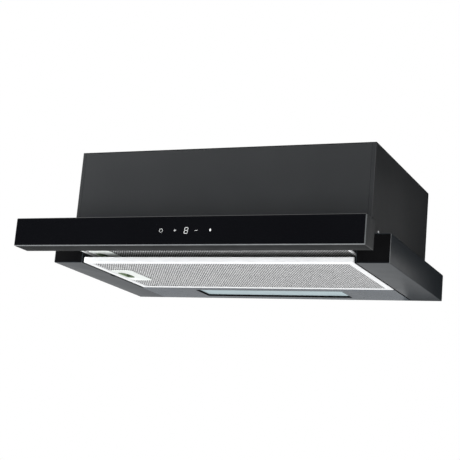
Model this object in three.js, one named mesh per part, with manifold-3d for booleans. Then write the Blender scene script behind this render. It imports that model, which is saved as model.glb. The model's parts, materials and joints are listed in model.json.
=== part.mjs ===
// Pull-out kitchen range hood with a glass-fronted drawer, two grease filters and a horizontal fan.
// Millimetres: X to the right, Y towards the wall, Z up. The drawer is modelled partly pulled out.
import * as THREE from 'three';
import { mergeVertices } from 'three/addons/utils/BufferGeometryUtils.js';
import Module from 'manifold-3d';

const wasm = await Module();
wasm.setup();

// ---------------------------------------------------------------------------
// Driving dimensions
// ---------------------------------------------------------------------------

// Sheet metal and the gaps between pieces
const sheet = 1;
const seam = 0.3;

// Grease filters: two alike cassettes, one fixed in the base and one in the drawer
const filterWidth = 483;
const filterDepth = 224;
const filterHeight = 9.5;
const filterSkin = 0.8;
const filterBorder = 13;
const filterSideGap = 1.5;
const filterBackGap = 1.5;
const filterLift = 0.5;
const filterSpacing = 6.5;
const meshThickness = 0.6;
const corePitch = 16;
const hookWidth = 12;
const hookThickness = 1.2;
const hookInset = 50;
const hookEngagement = 3;
const hookTiltRoom = 2.6;

// Filter handle, its finger pocket and its sliding latch
const handleWidth = 42;
const handleLength = 88;
const handleThickness = 0.8;
const pocketWidth = 22;
const pocketLength = 50;
const pocketWall = 1.2;
const fingerHoleWidth = 15;
const fingerHoleLength = 36;
const latchTabThickness = 3;
const latchTabLength = 28;
const latchBoltWidth = 14;
const latchBoltHeight = 3;
const latchBoltLift = 2.2;
const latchEngagement = 0.7;

// Base: two hollow side rails, a rear strip with the lamp, a plate under the motor box and a back panel
const railWidth = 56;
const lampFrontMargin = 14.5;
const lampRecessDepth = 59;
const lampBackMargin = 20;
const lampRecessWidth = 282;
const lampRecess = 3.3;
const lampLedge = 3;
const diffuserThickness = 2;
const lampTrayWall = 1.5;
const lampTrayHeight = 11.7;
const boardThickness = 1.6;
const stripLipHeight = 11;

// Drawer, its ball runners and how far it is pulled out
const pullOut = 85;
const drawerSideGap = 1.2;
const drawerFilterGap = 0.6;
const hangerGap = 0.5;
const drawerTailGap = 1;
const runnerGap = 1;
const runnerWidth = 12;
const runnerHeight = 15;
const runnerSheet = 1.2;
const runnerFront = 6;
const runnerBackGap = 53;
const ballRadius = 1.35;
const ballClearance = 0.15;
const ballInset = 4.6;
const ballsPerRow = 4;
const cageLength = 90;
const cageSheet = 0.8;
const cageCentreClosed = 140;
const headroom = 1.5;

// Visor, the glass-fronted handle bar of the drawer
const visorDepth = 42;
const visorBottomGap = 1;
const glassThickness = 4;
const visorCapThickness = 1.2;
const touchBoardWidth = 160;
const touchBoardHeight = 30;
const touchBoardOffset = 10.2;
const displayWidth = 16;
const displayHeight = 20;
const displayThickness = 6;
const displayOffset = 11.7;

// Motor box on top of the base
const boxSideStep = 33;
const boxBackStep = 4;
const boxFrontFlange = 7;
const serviceBay = 116;
const airwayMargin = 30;
const screwInset = 34;
const screwLift = 9.5;
const screwHeadRadius = 3.4;
const screwHeadHeight = 2.2;
const screwShankRadius = 1.9;
const screwShankLength = 6;
const lugWidth = 18;
const lugHeight = 20;

// Air outlet collar and its two back-draught flaps
const collarRadius = 74.5;
const collarWall = 2.5;
const collarHeight = 28;
const collarFlange = 18;
const collarFlangeThickness = 1.5;
const collarFromBack = 130;
const flapLedge = 3;
const flapLedgeHeight = 5.5;
const flapThickness = 1.2;
const flapEdgeGap = 0.5;
const flapAxleRadius = 2;
const knuckleRadius = 3.4;
const knuckleReach = 66;
const knuckleSplit = 23.5;
const flapRootGap = 0.8;

// Fan: a double-inlet wheel on a horizontal axle in a two-part scroll
const wheelRadius = 52;
const wheelBladeDepth = 10;
const wheelWidth = 98;
const wheelBlades = 20;
const bladeThickness = 1.2;
const bladePitch = 0.6;
const wheelDisc = 2;
const hubRadius = 9;
const hubLength = 16;
const scrollGap = 6;
const scrollGrowth = 18;
const scrollWall = 2;
const scrollSideGap = 6;
const scrollFloorGap = 3.5;
const scrollTopGap = 10.2;
const tongueAngle = 1.31;
const inletInset = 8;
const neckFlange = 20;
const shaftRadius = 4;
const shaftTail = 14;
const motorRadius = 36;
const motorWall = 1.2;
const motorLeft = 10;
const rotorRadius = 22;
const rotorGap = 0.6;
const rotorLength = 34;
const rotorInset = 6;
const bracketThickness = 2;
const bracketArmWidth = 12;
const bracketOverlap = 10;

// Electrical pieces that stand on the base plate beside the fan
const controlWidth = 80;
const controlLength = 150;
const controlHeight = 28;
const plasticWall = 2;
const capacitorRadius = 17.5;
const capacitorHeight = 58;
const driverWidth = 60;
const driverLength = 40;
const driverHeight = 22;
const glandRadius = 8;
const glandFlange = 4;
const glandHeight = 12;
const glandInset = 40;

// Facets on round pieces
const coarseFacets = 20;
const fineFacets = 36;

// ---------------------------------------------------------------------------
// Sizes that follow
// ---------------------------------------------------------------------------

const openingHalf = filterWidth / 2 + filterSideGap;
const hoodWidth = 2 * (openingHalf + railWidth);
const stripFront = filterDepth + filterBackGap;
const baseInnerBack = stripFront + lampFrontMargin + lampRecessDepth + lampBackMargin;
const baseDepth = baseInnerBack + sheet;

const drawerFilterBottom = filterLift + filterHeight + filterSpacing;
const hangerBottom = drawerFilterBottom + filterHeight + hangerGap;
const runnerBottom = hangerBottom + sheet + runnerGap;
const drawerWebTop = runnerBottom + runnerHeight + runnerGap;
const baseHeight = drawerWebTop + headroom + sheet;
const baseRoof = baseHeight - sheet;

const boxWidth = hoodWidth - 2 * boxSideStep;
const boxDepth = baseDepth - boxBackStep;
const airwayHalf = boxWidth / 2 - serviceBay;

const lipOuter = openingHalf - drawerSideGap;
const drawerFilterWidth = 2 * (lipOuter - sheet - drawerFilterGap);
const runnerOuterFace = openingHalf - seam;
const runnerInnerFace = runnerOuterFace - runnerWidth;
const runnerLength = baseDepth - runnerFront - runnerBackGap;
const drawerLength = filterDepth + 2 * drawerTailGap + 2 * sheet;

const scrollStart = wheelRadius + scrollGap;
const scrollEnd = scrollStart + scrollGrowth;
const tongueY = scrollStart * Math.cos(tongueAngle);
const collarY = boxDepth - collarFromBack;
const axleY = collarY - (tongueY + scrollEnd) / 2;
const axleZ = baseHeight + scrollFloorGap + scrollRadius(1.5 * Math.PI) + scrollWall;
const boxTop = axleZ + scrollRadius(0.5 * Math.PI) + scrollWall + scrollTopGap + sheet;
const scrollHalfWidth = wheelWidth / 2 + scrollSideGap + scrollWall;

// Distance of the scroll's inner wall from the axle at an angle from the +Y direction.
function scrollRadius(angle) {
  const share = (angle - tongueAngle) / (2 * Math.PI - tongueAngle);
  return scrollStart + scrollGrowth * Math.max(share, 0);
}

// ---------------------------------------------------------------------------
// Finishes
// ---------------------------------------------------------------------------

const blackSteel = { color: 0x2c2e30, roughness: 0.45, metalness: 0.2 };
const railSteel = { color: 0x33363a, roughness: 0.35, metalness: 0.3 };
const blackGlass = { color: 0x0d0f13, roughness: 0.05, metalness: 0 };
const zincSteel = { color: 0xb4b7ba, roughness: 0.35, metalness: 0.9 };
const aluminium = { color: 0xd9dcdf, roughness: 0.3, metalness: 0.9 };
const whitePlastic = { color: 0xe9eeee, roughness: 0.4, metalness: 0 };
const greenPlastic = { color: 0x59664f, roughness: 0.5, metalness: 0 };
const blackPlastic = { color: 0x1b1c1d, roughness: 0.6, metalness: 0 };
const greyPlastic = { color: 0x8b8f92, roughness: 0.6, metalness: 0 };
const opalPlastic = { color: 0xdfe9ee, roughness: 0.5, metalness: 0 };
const circuitBoard = { color: 0x1f4a34, roughness: 0.5, metalness: 0 };

// ---------------------------------------------------------------------------
// Building blocks
// ---------------------------------------------------------------------------

function addPiece(group, name, geometry, look, position = [0, 0, 0]) {
  const piece = new THREE.Mesh(geometry, new THREE.MeshStandardMaterial(look));
  piece.name = name;
  piece.position.set(...position);
  group.add(piece);
}

// A block between two places along each axis, in either order.
function blockBetween([x0, x1], [y0, y1], [z0, z1]) {
  const block = new THREE.BoxGeometry(Math.abs(x1 - x0), Math.abs(y1 - y0), Math.abs(z1 - z0));
  return block.translate((x0 + x1) / 2, (y0 + y1) / 2, (z0 + z1) / 2);
}

function toSolid(geometry) {
  const bare = geometry.clone();
  bare.deleteAttribute('normal');
  bare.deleteAttribute('uv');
  const merged = mergeVertices(bare, 1e-4);
  const mesh = new wasm.Mesh({
    numProp: 3,
    vertProperties: new Float32Array(merged.attributes.position.array),
    triVerts: new Uint32Array(merged.index.array),
  });
  return new wasm.Manifold(mesh);
}

function toGeometry(solid) {
  const mesh = solid.getMesh();
  const geometry = new THREE.BufferGeometry();
  geometry.setAttribute('position', new THREE.BufferAttribute(mesh.vertProperties, 3));
  geometry.setIndex(new THREE.BufferAttribute(mesh.triVerts, 1));
  return geometry;
}

function fuse(...geometries) {
  return toGeometry(geometries.map(toSolid).reduce((whole, next) => whole.add(next)));
}

function carve(geometry, ...tools) {
  return toGeometry(tools.map(toSolid).reduce((whole, tool) => whole.subtract(tool), toSolid(geometry)));
}

// A round bar along X, Y or Z between two places on that axis.
function roundBar(axis, radius, [from, to], facets = coarseFacets) {
  const bar = new THREE.CylinderGeometry(radius, radius, Math.abs(to - from), facets);
  bar.translate(0, (from + to) / 2, 0);
  if (axis === 'x') {
    bar.rotateZ(-Math.PI / 2);
  }
  if (axis === 'z') {
    bar.rotateX(Math.PI / 2);
  }
  return bar;
}

// A solid of revolution about Z from a closed profile of [radius, height] corners.
function turned(corners, facets = fineFacets) {
  const profile = [...corners, corners[0]].map(([radius, height]) => new THREE.Vector2(radius, height));
  return new THREE.LatheGeometry(profile, facets).rotateX(Math.PI / 2);
}

// An outline in the YZ plane swept along X between two places.
function sweptAlongX(shape, [from, to]) {
  const swept = new THREE.ExtrudeGeometry(shape, { depth: Math.abs(to - from), bevelEnabled: false });
  const turn = new THREE.Matrix4().makeBasis(
    new THREE.Vector3(0, 1, 0),
    new THREE.Vector3(0, 0, 1),
    new THREE.Vector3(1, 0, 0),
  );
  return swept.applyMatrix4(turn).translate(Math.min(from, to), 0, 0);
}

// An outline in the XY plane swept upwards between two heights.
function sweptUp(shape, [from, to]) {
  const swept = new THREE.ExtrudeGeometry(shape, { depth: to - from, bevelEnabled: false });
  return swept.translate(0, 0, from);
}

// ---------------------------------------------------------------------------
// Grease filter cassette: origin at the middle of its front bottom edge
// ---------------------------------------------------------------------------

function filterPlaces(width) {
  const left = -width / 2;
  const windowLeft = left + filterBorder;
  const handleY = filterDepth / 2;
  return {
    left,
    right: width / 2,
    windowLeft,
    windowRight: width / 2 - filterBorder,
    handleLeft: windowLeft + seam,
    handleY,
    pocketTop: filterHeight - filterSkin - meshThickness - seam,
  };
}

function filterFrame(width, hookReach) {
  const { left, right, windowLeft, windowRight, handleY } = filterPlaces(width);
  const hooks = [hookInset, filterDepth - hookInset].map((y) => blockBetween(
    [right - filterSkin, right + hookReach],
    [y - hookWidth / 2, y + hookWidth / 2],
    [filterSkin, filterSkin + hookThickness],
  ));
  const body = fuse(blockBetween([left, right], [0, filterDepth], [0, filterHeight]), ...hooks);
  const cavity = blockBetween(
    [left + filterSkin, right - filterSkin],
    [filterSkin, filterDepth - filterSkin],
    [filterSkin, filterHeight - filterSkin],
  );
  const window = blockBetween(
    [windowLeft, windowRight],
    [filterBorder, filterDepth - filterBorder],
    [-sheet, filterHeight + sheet],
  );
  const boltHole = blockBetween(
    [left - sheet, left + 2 * filterSkin],
    [handleY - latchBoltWidth / 2 - seam, handleY + latchBoltWidth / 2 + seam],
    [latchBoltLift - seam, latchBoltLift + latchBoltHeight + seam],
  );
  return carve(body, cavity, window, boltHole);
}

// The space that the handle's pocket and the latch take out of the mesh layers.
function latchNotch(width) {
  const { left, handleLeft, handleY } = filterPlaces(width);
  return blockBetween(
    [left, handleLeft + pocketWidth + seam],
    [handleY - pocketLength / 2 - seam, handleY + pocketLength / 2 + seam],
    [0, filterHeight],
  );
}

function filterMesh(width) {
  const { left, right } = filterPlaces(width);
  const inset = filterSkin + seam;
  const layer = blockBetween(
    [left + inset, right - inset],
    [inset, filterDepth - inset],
    [inset, inset + meshThickness],
  );
  return carve(layer, latchNotch(width));
}

// The crimped inner layer, a zigzag sheet whose folds run from left to right.
function filterCore(width) {
  const { left, right } = filterPlaces(width);
  const inset = filterSkin + seam;
  const low = inset + meshThickness + seam;
  const high = filterHeight - filterSkin - seam - meshThickness;
  const folds = Math.round((filterDepth - 2 * inset) / corePitch) * 2;
  const step = (filterDepth - 2 * inset) / folds;
  const underside = [];
  for (let fold = 0; fold <= folds; fold += 1) {
    underside.push([inset + fold * step, fold % 2 === 0 ? low : high]);
  }
  const topside = underside.map(([y, z]) => [y, z + meshThickness]).reverse();
  const outline = new THREE.Shape([...underside, ...topside].map(([y, z]) => new THREE.Vector2(y, z)));
  return carve(sweptAlongX(outline, [left + inset, right - inset]), latchNotch(width));
}

function filterHandle(width) {
  const { handleLeft, handleY, pocketTop } = filterPlaces(width);
  const plate = blockBetween(
    [handleLeft, handleLeft + handleWidth],
    [handleY - handleLength / 2, handleY + handleLength / 2],
    [0, handleThickness],
  );
  const pocket = blockBetween(
    [handleLeft, handleLeft + pocketWidth],
    [handleY - pocketLength / 2, handleY + pocketLength / 2],
    [0, pocketTop],
  );
  const hollow = blockBetween(
    [handleLeft + pocketWall, handleLeft + pocketWidth - pocketWall],
    [handleY - pocketLength / 2 + pocketWall, handleY + pocketLength / 2 - pocketWall],
    [handleThickness, pocketTop - pocketWall],
  );
  const oval = new THREE.Shape();
  const ovalX = handleLeft + pocketWall + fingerHoleWidth / 2;
  oval.absellipse(ovalX, handleY, fingerHoleWidth / 2, fingerHoleLength / 2, 0, 2 * Math.PI);
  const ovalOutline = new THREE.Shape(oval.getPoints(coarseFacets).slice(1));
  const fingerHole = sweptUp(ovalOutline, [-sheet, 2 * handleThickness]);
  const boltHole = blockBetween(
    [handleLeft - sheet, handleLeft + 2 * pocketWall],
    [handleY - latchBoltWidth / 2 - seam, handleY + latchBoltWidth / 2 + seam],
    [latchBoltLift - seam, latchBoltLift + latchBoltHeight + seam],
  );
  return carve(fuse(plate, pocket), hollow, fingerHole, boltHole);
}

function filterLatch(width, boltReach) {
  const { left, handleLeft, handleY, pocketTop } = filterPlaces(width);
  const tabLeft = handleLeft + pocketWall + seam;
  const tab = blockBetween(
    [tabLeft, tabLeft + latchTabThickness],
    [handleY - latchTabLength / 2, handleY + latchTabLength / 2],
    [handleThickness + seam, pocketTop - pocketWall - seam],
  );
  const bolt = blockBetween(
    [left - boltReach, tabLeft + latchTabThickness],
    [handleY - latchBoltWidth / 2, handleY + latchBoltWidth / 2],
    [latchBoltLift, latchBoltLift + latchBoltHeight],
  );
  return fuse(tab, bolt);
}

function filterCassette(prefix, width, hookReach, boltReach) {
  const cassette = new THREE.Group();
  addPiece(cassette, `${prefix}_filter_frame`, filterFrame(width, hookReach), aluminium);
  addPiece(cassette, `${prefix}_filter_mesh`, filterMesh(width), aluminium);
  addPiece(cassette, `${prefix}_filter_core`, filterCore(width), aluminium);
  addPiece(cassette, `${prefix}_filter_handle`, filterHandle(width), whitePlastic);
  addPiece(cassette, `${prefix}_filter_latch`, filterLatch(width, boltReach), greenPlastic);
  return cassette;
}

// ---------------------------------------------------------------------------
// Base
// ---------------------------------------------------------------------------

// A hollow rail. Its outer wall is folded inwards at the top, into the seat for the cabinet's side.
function rail(side) {
  const outer = side * hoodWidth / 2;
  const inner = side * openingHalf;
  const seatInner = side * (boxWidth / 2 + seam);
  const back = baseInnerBack - seam;
  const top = baseRoof - seam;
  return fuse(
    blockBetween([inner, outer], [0, back], [0, sheet]),
    blockBetween([outer - side * sheet, outer], [0, back], [0, baseHeight]),
    blockBetween([inner, inner + side * sheet], [0, back], [0, top]),
    blockBetween([inner, outer], [0, sheet], [0, top]),
    blockBetween([seatInner, outer], [0, sheet], [0, baseHeight]),
    blockBetween([seatInner, outer], [0, baseDepth], [baseRoof, baseHeight]),
  );
}

// The left rail's inner edge is notched for the filter's latch.
function leftRail() {
  const y = filterDepth / 2;
  const notch = blockBetween(
    [-openingHalf - sheet, -openingHalf + sheet],
    [y - latchBoltWidth / 2 - sheet, y + latchBoltWidth / 2 + sheet],
    [-sheet, filterLift + latchBoltLift + latchBoltHeight + sheet],
  );
  return carve(rail(-1), notch);
}

// The right rail's inner wall is slotted for the filter's two hooks, which turn in the slots.
function rightRail() {
  const slots = [hookInset, filterDepth - hookInset].map((y) => blockBetween(
    [openingHalf - sheet, openingHalf + 2 * sheet],
    [y - hookWidth / 2 - sheet, y + hookWidth / 2 + sheet],
    [filterLift + filterSkin - seam, filterLift + filterSkin + hookThickness + hookTiltRoom],
  ));
  return carve(rail(1), ...slots);
}

function rearStrip() {
  const half = openingHalf - seam;
  const back = baseInnerBack - seam;
  const recessFront = stripFront + lampFrontMargin;
  const recessBack = recessFront + lampRecessDepth;
  const recessHalf = lampRecessWidth / 2;
  const strip = blockBetween([-half, half], [stripFront, back], [0, sheet]);
  const lip = blockBetween([-half, half], [stripFront, stripFront + sheet], [0, stripLipHeight]);
  const collar = blockBetween(
    [-recessHalf - sheet, recessHalf + sheet],
    [recessFront - sheet, recessBack + sheet],
    [0, lampRecess],
  );
  const recess = blockBetween(
    [-recessHalf, recessHalf],
    [recessFront, recessBack],
    [-sheet, lampRecess + sheet],
  );
  return carve(fuse(strip, lip, collar), recess);
}

// Screws on each side hold the motor box to lugs that stand on the base plate.
function sideScrewPlaces() {
  return [screwInset, boxDepth - screwInset];
}

function baseTopPlate() {
  const plate = blockBetween([-boxWidth / 2, boxWidth / 2], [0, baseDepth], [baseRoof, baseHeight]);
  const airway = blockBetween(
    [-airwayHalf, airwayHalf],
    [airwayMargin, boxDepth - airwayMargin],
    [baseRoof - sheet, baseHeight + sheet],
  );
  const lugOuter = boxWidth / 2 - sheet - seam;
  const lugs = [];
  const holes = [];
  for (const side of [-1, 1]) {
    for (const y of sideScrewPlaces()) {
      lugs.push(blockBetween(
        [side * (lugOuter - sheet), side * lugOuter],
        [y - lugWidth / 2, y + lugWidth / 2],
        [baseRoof, baseHeight + lugHeight],
      ));
      holes.push(screwHole(side, y));
    }
  }
  return carve(fuse(plate, ...lugs), airway, ...holes);
}

function screwHole(side, y) {
  const reach = [side * (boxWidth / 2 - screwShankLength), side * (boxWidth / 2 + sheet)];
  const hole = roundBar('x', screwShankRadius + seam, reach, coarseFacets / 2);
  return hole.translate(0, y, baseHeight + screwLift);
}

function sideScrew(side) {
  const face = boxWidth / 2 + seam;
  const shankReach = [side * (face - screwShankLength), side * (face + screwHeadHeight / 2)];
  const head = roundBar('x', screwHeadRadius, [side * face, side * (face + screwHeadHeight)]);
  return fuse(head, roundBar('x', screwShankRadius, shankReach, coarseFacets / 2));
}

function lampTray() {
  const recessFront = stripFront + lampFrontMargin;
  const inner = sheet + lampLedge + seam;
  const low = sheet + seam;
  const outer = inner + lampTrayWall;
  const half = lampRecessWidth / 2;
  const shell = blockBetween(
    [-half - outer, half + outer],
    [recessFront - outer, recessFront + lampRecessDepth + outer],
    [low, low + lampTrayHeight],
  );
  const hollow = blockBetween(
    [-half - inner, half + inner],
    [recessFront - inner, recessFront + lampRecessDepth + inner],
    [low - sheet, low + lampTrayHeight - lampTrayWall],
  );
  return carve(shell, hollow);
}

function lampSheet(low, thickness) {
  const recessFront = stripFront + lampFrontMargin;
  const reach = sheet + lampLedge;
  const half = lampRecessWidth / 2;
  return blockBetween(
    [-half - reach, half + reach],
    [recessFront - reach, recessFront + lampRecessDepth + reach],
    [low, low + thickness],
  );
}

function buildBase() {
  const base = new THREE.Group();
  const trayRoof = sheet + seam + lampTrayHeight - lampTrayWall;
  addPiece(base, 'left_rail', leftRail(), railSteel);
  addPiece(base, 'right_rail', rightRail(), railSteel);
  addPiece(base, 'rear_strip', rearStrip(), railSteel);
  addPiece(base, 'base_top_plate', baseTopPlate(), blackSteel);
  addPiece(base, 'base_back_panel', blockBetween(
    [-hoodWidth / 2, hoodWidth / 2],
    [baseInnerBack, baseDepth],
    [0, baseRoof - seam],
  ), blackSteel);
  addPiece(base, 'lamp_diffuser', lampSheet(lampRecess + seam, diffuserThickness), opalPlastic);
  addPiece(base, 'lamp_tray', lampTray(), whitePlastic);
  addPiece(base, 'lamp_board', lampSheet(trayRoof - seam - boardThickness, boardThickness), circuitBoard);
  return base;
}

// ---------------------------------------------------------------------------
// Motor box
// ---------------------------------------------------------------------------

function boxSide(side) {
  const outer = side * boxWidth / 2;
  const heights = [baseHeight + seam, boxTop - sheet - seam];
  const wall = blockBetween([outer - side * sheet, outer], [0, boxDepth - sheet - seam], heights);
  const frontFlange = blockBetween([outer - side * boxFrontFlange, outer], [0, sheet], heights);
  return carve(fuse(wall, frontFlange), ...sideScrewPlaces().map((y) => screwHole(side, y)));
}

function boxTopPanel() {
  const panel = blockBetween([-boxWidth / 2, boxWidth / 2], [0, boxDepth], [boxTop - sheet, boxTop]);
  const outlet = roundBar('z', collarRadius - collarWall, [boxTop - 2 * sheet, boxTop + sheet], fineFacets);
  const gland = roundBar('z', glandRadius + seam, [boxTop - 2 * sheet, boxTop + sheet]);
  const [glandX, glandY] = glandPlace();
  return carve(panel, outlet.translate(0, collarY, 0), gland.translate(glandX, glandY, 0));
}

function glandPlace() {
  return [-boxWidth / 2 + glandInset, boxDepth - glandInset];
}

function buildMotorBox() {
  const box = new THREE.Group();
  const heights = [baseHeight + seam, boxTop - sheet - seam];
  const frontHalf = boxWidth / 2 - boxFrontFlange - seam;
  const backHalf = boxWidth / 2;
  addPiece(box, 'box_front_panel', blockBetween([-frontHalf, frontHalf], [0, sheet], heights), blackSteel);
  addPiece(box, 'box_left_side', boxSide(-1), blackSteel);
  addPiece(box, 'box_right_side', boxSide(1), blackSteel);
  addPiece(box, 'box_back_panel', blockBetween(
    [-backHalf, backHalf],
    [boxDepth - sheet, boxDepth],
    heights,
  ), blackSteel);
  addPiece(box, 'box_top_panel', boxTopPanel(), blackSteel);
  const screwPlace = [0, screwInset, baseHeight + screwLift];
  addPiece(box, 'left_side_screw', sideScrew(-1), zincSteel, screwPlace);
  addPiece(box, 'right_side_screw', sideScrew(1), zincSteel, screwPlace);
  return box;
}

// ---------------------------------------------------------------------------
// Outlet collar and flaps: origin on the motor box's top, at the collar's centre
// ---------------------------------------------------------------------------

const boreRadius = collarRadius - collarWall;
const flapPlane = flapLedgeHeight + seam + flapThickness / 2;

function outletCollar() {
  const ring = turned([
    [boreRadius, 0],
    [collarRadius + collarFlange, 0],
    [collarRadius + collarFlange, collarFlangeThickness],
    [collarRadius, collarFlangeThickness],
    [collarRadius, collarHeight],
    [boreRadius, collarHeight],
    [boreRadius, flapLedgeHeight],
    [boreRadius - flapLedge, flapLedgeHeight],
    [boreRadius - flapLedge, flapLedgeHeight - flapLedge / 2],
  ]);
  const axleReach = boreRadius + collarWall / 2 + seam;
  const axleHole = roundBar('y', flapAxleRadius + seam, [-axleReach, axleReach]);
  return carve(ring, axleHole.translate(0, 0, flapPlane));
}

// Origin on the flap's hinge line. The first flap has the two outer knuckles, the second the middle one.
function flap(side, knuckles) {
  const reach = boreRadius - flapEdgeGap;
  const root = knuckleRadius + flapRootGap;
  const swing = Math.acos(root / reach);
  const rim = new THREE.Shape();
  rim.absarc(0, 0, reach, -swing, swing);
  const layer = [-flapThickness / 2, flapThickness / 2];
  const halfDisc = sweptUp(new THREE.Shape(rim.getPoints(coarseFacets)), layer);
  if (side < 0) {
    halfDisc.rotateZ(Math.PI);
  }
  const parts = [halfDisc];
  const bores = [];
  for (const [from, to] of knuckles) {
    parts.push(blockBetween([0, side * (root + sheet)], [from, to], layer));
    parts.push(roundBar('y', knuckleRadius, [from, to], coarseFacets / 2));
    bores.push(roundBar('y', flapAxleRadius + seam, [from - sheet, to + sheet], coarseFacets / 2));
  }
  return carve(fuse(...parts), ...bores);
}

function buildOutlet() {
  const outlet = new THREE.Group();
  const split = knuckleSplit;
  const hingePlace = [0, 0, flapPlane];
  const axleReach = boreRadius + collarWall / 2;
  addPiece(outlet, 'outlet_collar', outletCollar(), blackPlastic);
  addPiece(outlet, 'left_flap', flap(-1, [
    [-knuckleReach, -split - sheet],
    [split + sheet, knuckleReach],
  ]), blackPlastic, hingePlace);
  addPiece(outlet, 'right_flap', flap(1, [[-split, split]]), blackPlastic, hingePlace);
  const axle = roundBar('y', flapAxleRadius, [-axleReach, axleReach]);
  addPiece(outlet, 'flap_axle', axle, zincSteel, hingePlace);
  outlet.position.set(0, collarY, boxTop + seam);
  return outlet;
}

// ---------------------------------------------------------------------------
// Fan: origin on the axle at the middle of the wheel
// ---------------------------------------------------------------------------

// The scroll's outline in the YZ plane: a spiral from the tongue round to the outlet neck.
function scrollOutline(wall, neckTop) {
  const start = Math.acos((tongueY - wall) / (scrollStart + wall));
  const turns = fineFacets;
  const points = [new THREE.Vector2(tongueY - wall, neckTop)];
  for (let turn = 0; turn <= turns; turn += 1) {
    const angle = start + ((2 * Math.PI - start) * turn) / turns;
    const radius = scrollRadius(angle) + wall;
    points.push(new THREE.Vector2(radius * Math.cos(angle), radius * Math.sin(angle)));
  }
  points.push(new THREE.Vector2(scrollEnd + wall, neckTop));
  return new THREE.Shape(points);
}

function scrollHalf(side) {
  const neckTop = boxTop - sheet - seam - axleZ;
  const middle = side * seam / 2;
  const outer = side * scrollHalfWidth;
  const neckMiddle = (tongueY + scrollEnd) / 2;
  const flangeHalf = (scrollEnd - tongueY) / 2 + neckFlange;
  const body = sweptAlongX(scrollOutline(scrollWall, neckTop), [middle, outer]);
  const flange = blockBetween(
    [middle, outer + side * neckFlange],
    [neckMiddle - flangeHalf, neckMiddle + flangeHalf],
    [neckTop - scrollWall, neckTop],
  );
  const hollow = sweptAlongX(scrollOutline(0, neckTop + sheet), [-middle, outer - side * scrollWall]);
  const inletReach = [outer - side * 2 * scrollWall, outer + side * scrollWall];
  const inlet = roundBar('x', wheelRadius - inletInset, inletReach, fineFacets);
  return carve(fuse(body, flange), hollow, inlet);
}

function fanWheel() {
  const half = wheelWidth / 2;
  const meanRadius = wheelRadius - wheelBladeDepth / 2;
  const parts = [
    roundBar('x', wheelRadius, [-wheelDisc / 2, wheelDisc / 2], fineFacets),
    roundBar('x', hubRadius, [-hubLength / 2, hubLength / 2]),
  ];
  for (const side of [-1, 1]) {
    const rim = turned([
      [wheelRadius - wheelBladeDepth, 0],
      [wheelRadius, 0],
      [wheelRadius, wheelDisc],
      [wheelRadius - wheelBladeDepth, wheelDisc],
    ]);
    rim.rotateY(Math.PI / 2);
    rim.translate(side * (half - wheelDisc / 2) - wheelDisc / 2, 0, 0);
    parts.push(rim);
  }
  for (let blade = 0; blade < wheelBlades; blade += 1) {
    const vane = new THREE.BoxGeometry(wheelWidth - wheelDisc, wheelBladeDepth, bladeThickness);
    vane.rotateX(bladePitch);
    vane.translate(0, meanRadius, 0);
    vane.rotateX((2 * Math.PI * blade) / wheelBlades);
    parts.push(vane);
  }
  const bore = roundBar('x', shaftRadius + seam, [-hubLength, hubLength]);
  return carve(fuse(...parts), bore);
}

// The motor sits inside the wheel's right end. Its pieces are turned about X, from left to right.
function turnedAboutX(corners) {
  return turned(corners, coarseFacets).rotateY(Math.PI / 2);
}

function motorCan() {
  const right = scrollHalfWidth;
  return turnedAboutX([
    [shaftRadius + seam, motorLeft],
    [motorRadius, motorLeft],
    [motorRadius, right],
    [motorRadius - motorWall, right],
    [motorRadius - motorWall, motorLeft + motorWall],
    [shaftRadius + seam, motorLeft + motorWall],
  ]);
}

function motorStator() {
  const left = motorLeft + rotorInset;
  return turnedAboutX([
    [rotorRadius + rotorGap, left],
    [motorRadius - motorWall - seam, left],
    [motorRadius - motorWall - seam, left + rotorLength],
    [rotorRadius + rotorGap, left + rotorLength],
  ]);
}

function motorRotor() {
  const left = motorLeft + rotorInset;
  return turnedAboutX([
    [shaftRadius + seam, left],
    [rotorRadius, left],
    [rotorRadius, left + rotorLength],
    [shaftRadius + seam, left + rotorLength],
  ]);
}

function motorBracket() {
  const left = scrollHalfWidth + seam;
  const reach = wheelRadius - inletInset + bracketOverlap;
  const parts = [roundBar('x', motorRadius, [left, left + bracketThickness])];
  for (let arm = 0; arm < 3; arm += 1) {
    const bar = blockBetween(
      [left, left + bracketThickness],
      [0, reach],
      [-bracketArmWidth / 2, bracketArmWidth / 2],
    );
    parts.push(bar.rotateX((2 * Math.PI * arm) / 3 + Math.PI / 2));
  }
  const bearing = roundBar('x', shaftRadius + seam, [left - sheet, left + bracketThickness + sheet]);
  return carve(fuse(...parts), bearing);
}

function buildFan() {
  const fan = new THREE.Group();
  const shaftEnd = scrollHalfWidth + seam + bracketThickness;
  addPiece(fan, 'left_scroll', scrollHalf(-1), greyPlastic);
  addPiece(fan, 'right_scroll', scrollHalf(1), greyPlastic);
  addPiece(fan, 'fan_wheel', fanWheel(), blackPlastic);
  addPiece(fan, 'fan_shaft', roundBar('x', shaftRadius, [-shaftTail, shaftEnd]), zincSteel);
  addPiece(fan, 'motor_can', motorCan(), zincSteel);
  addPiece(fan, 'motor_stator', motorStator(), zincSteel);
  addPiece(fan, 'motor_rotor', motorRotor(), zincSteel);
  addPiece(fan, 'motor_bracket', motorBracket(), zincSteel);
  fan.position.set(0, axleY, axleZ);
  return fan;
}

// ---------------------------------------------------------------------------
// Electrical pieces: origin on the base plate's top, on its front edge
// ---------------------------------------------------------------------------

function openBox(width, length, height, wall) {
  const shell = blockBetween([-width / 2, width / 2], [-length / 2, length / 2], [0, height]);
  const hollow = blockBetween(
    [-width / 2 + wall, width / 2 - wall],
    [-length / 2 + wall, length / 2 - wall],
    [wall, height + wall],
  );
  return carve(shell, hollow);
}

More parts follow.
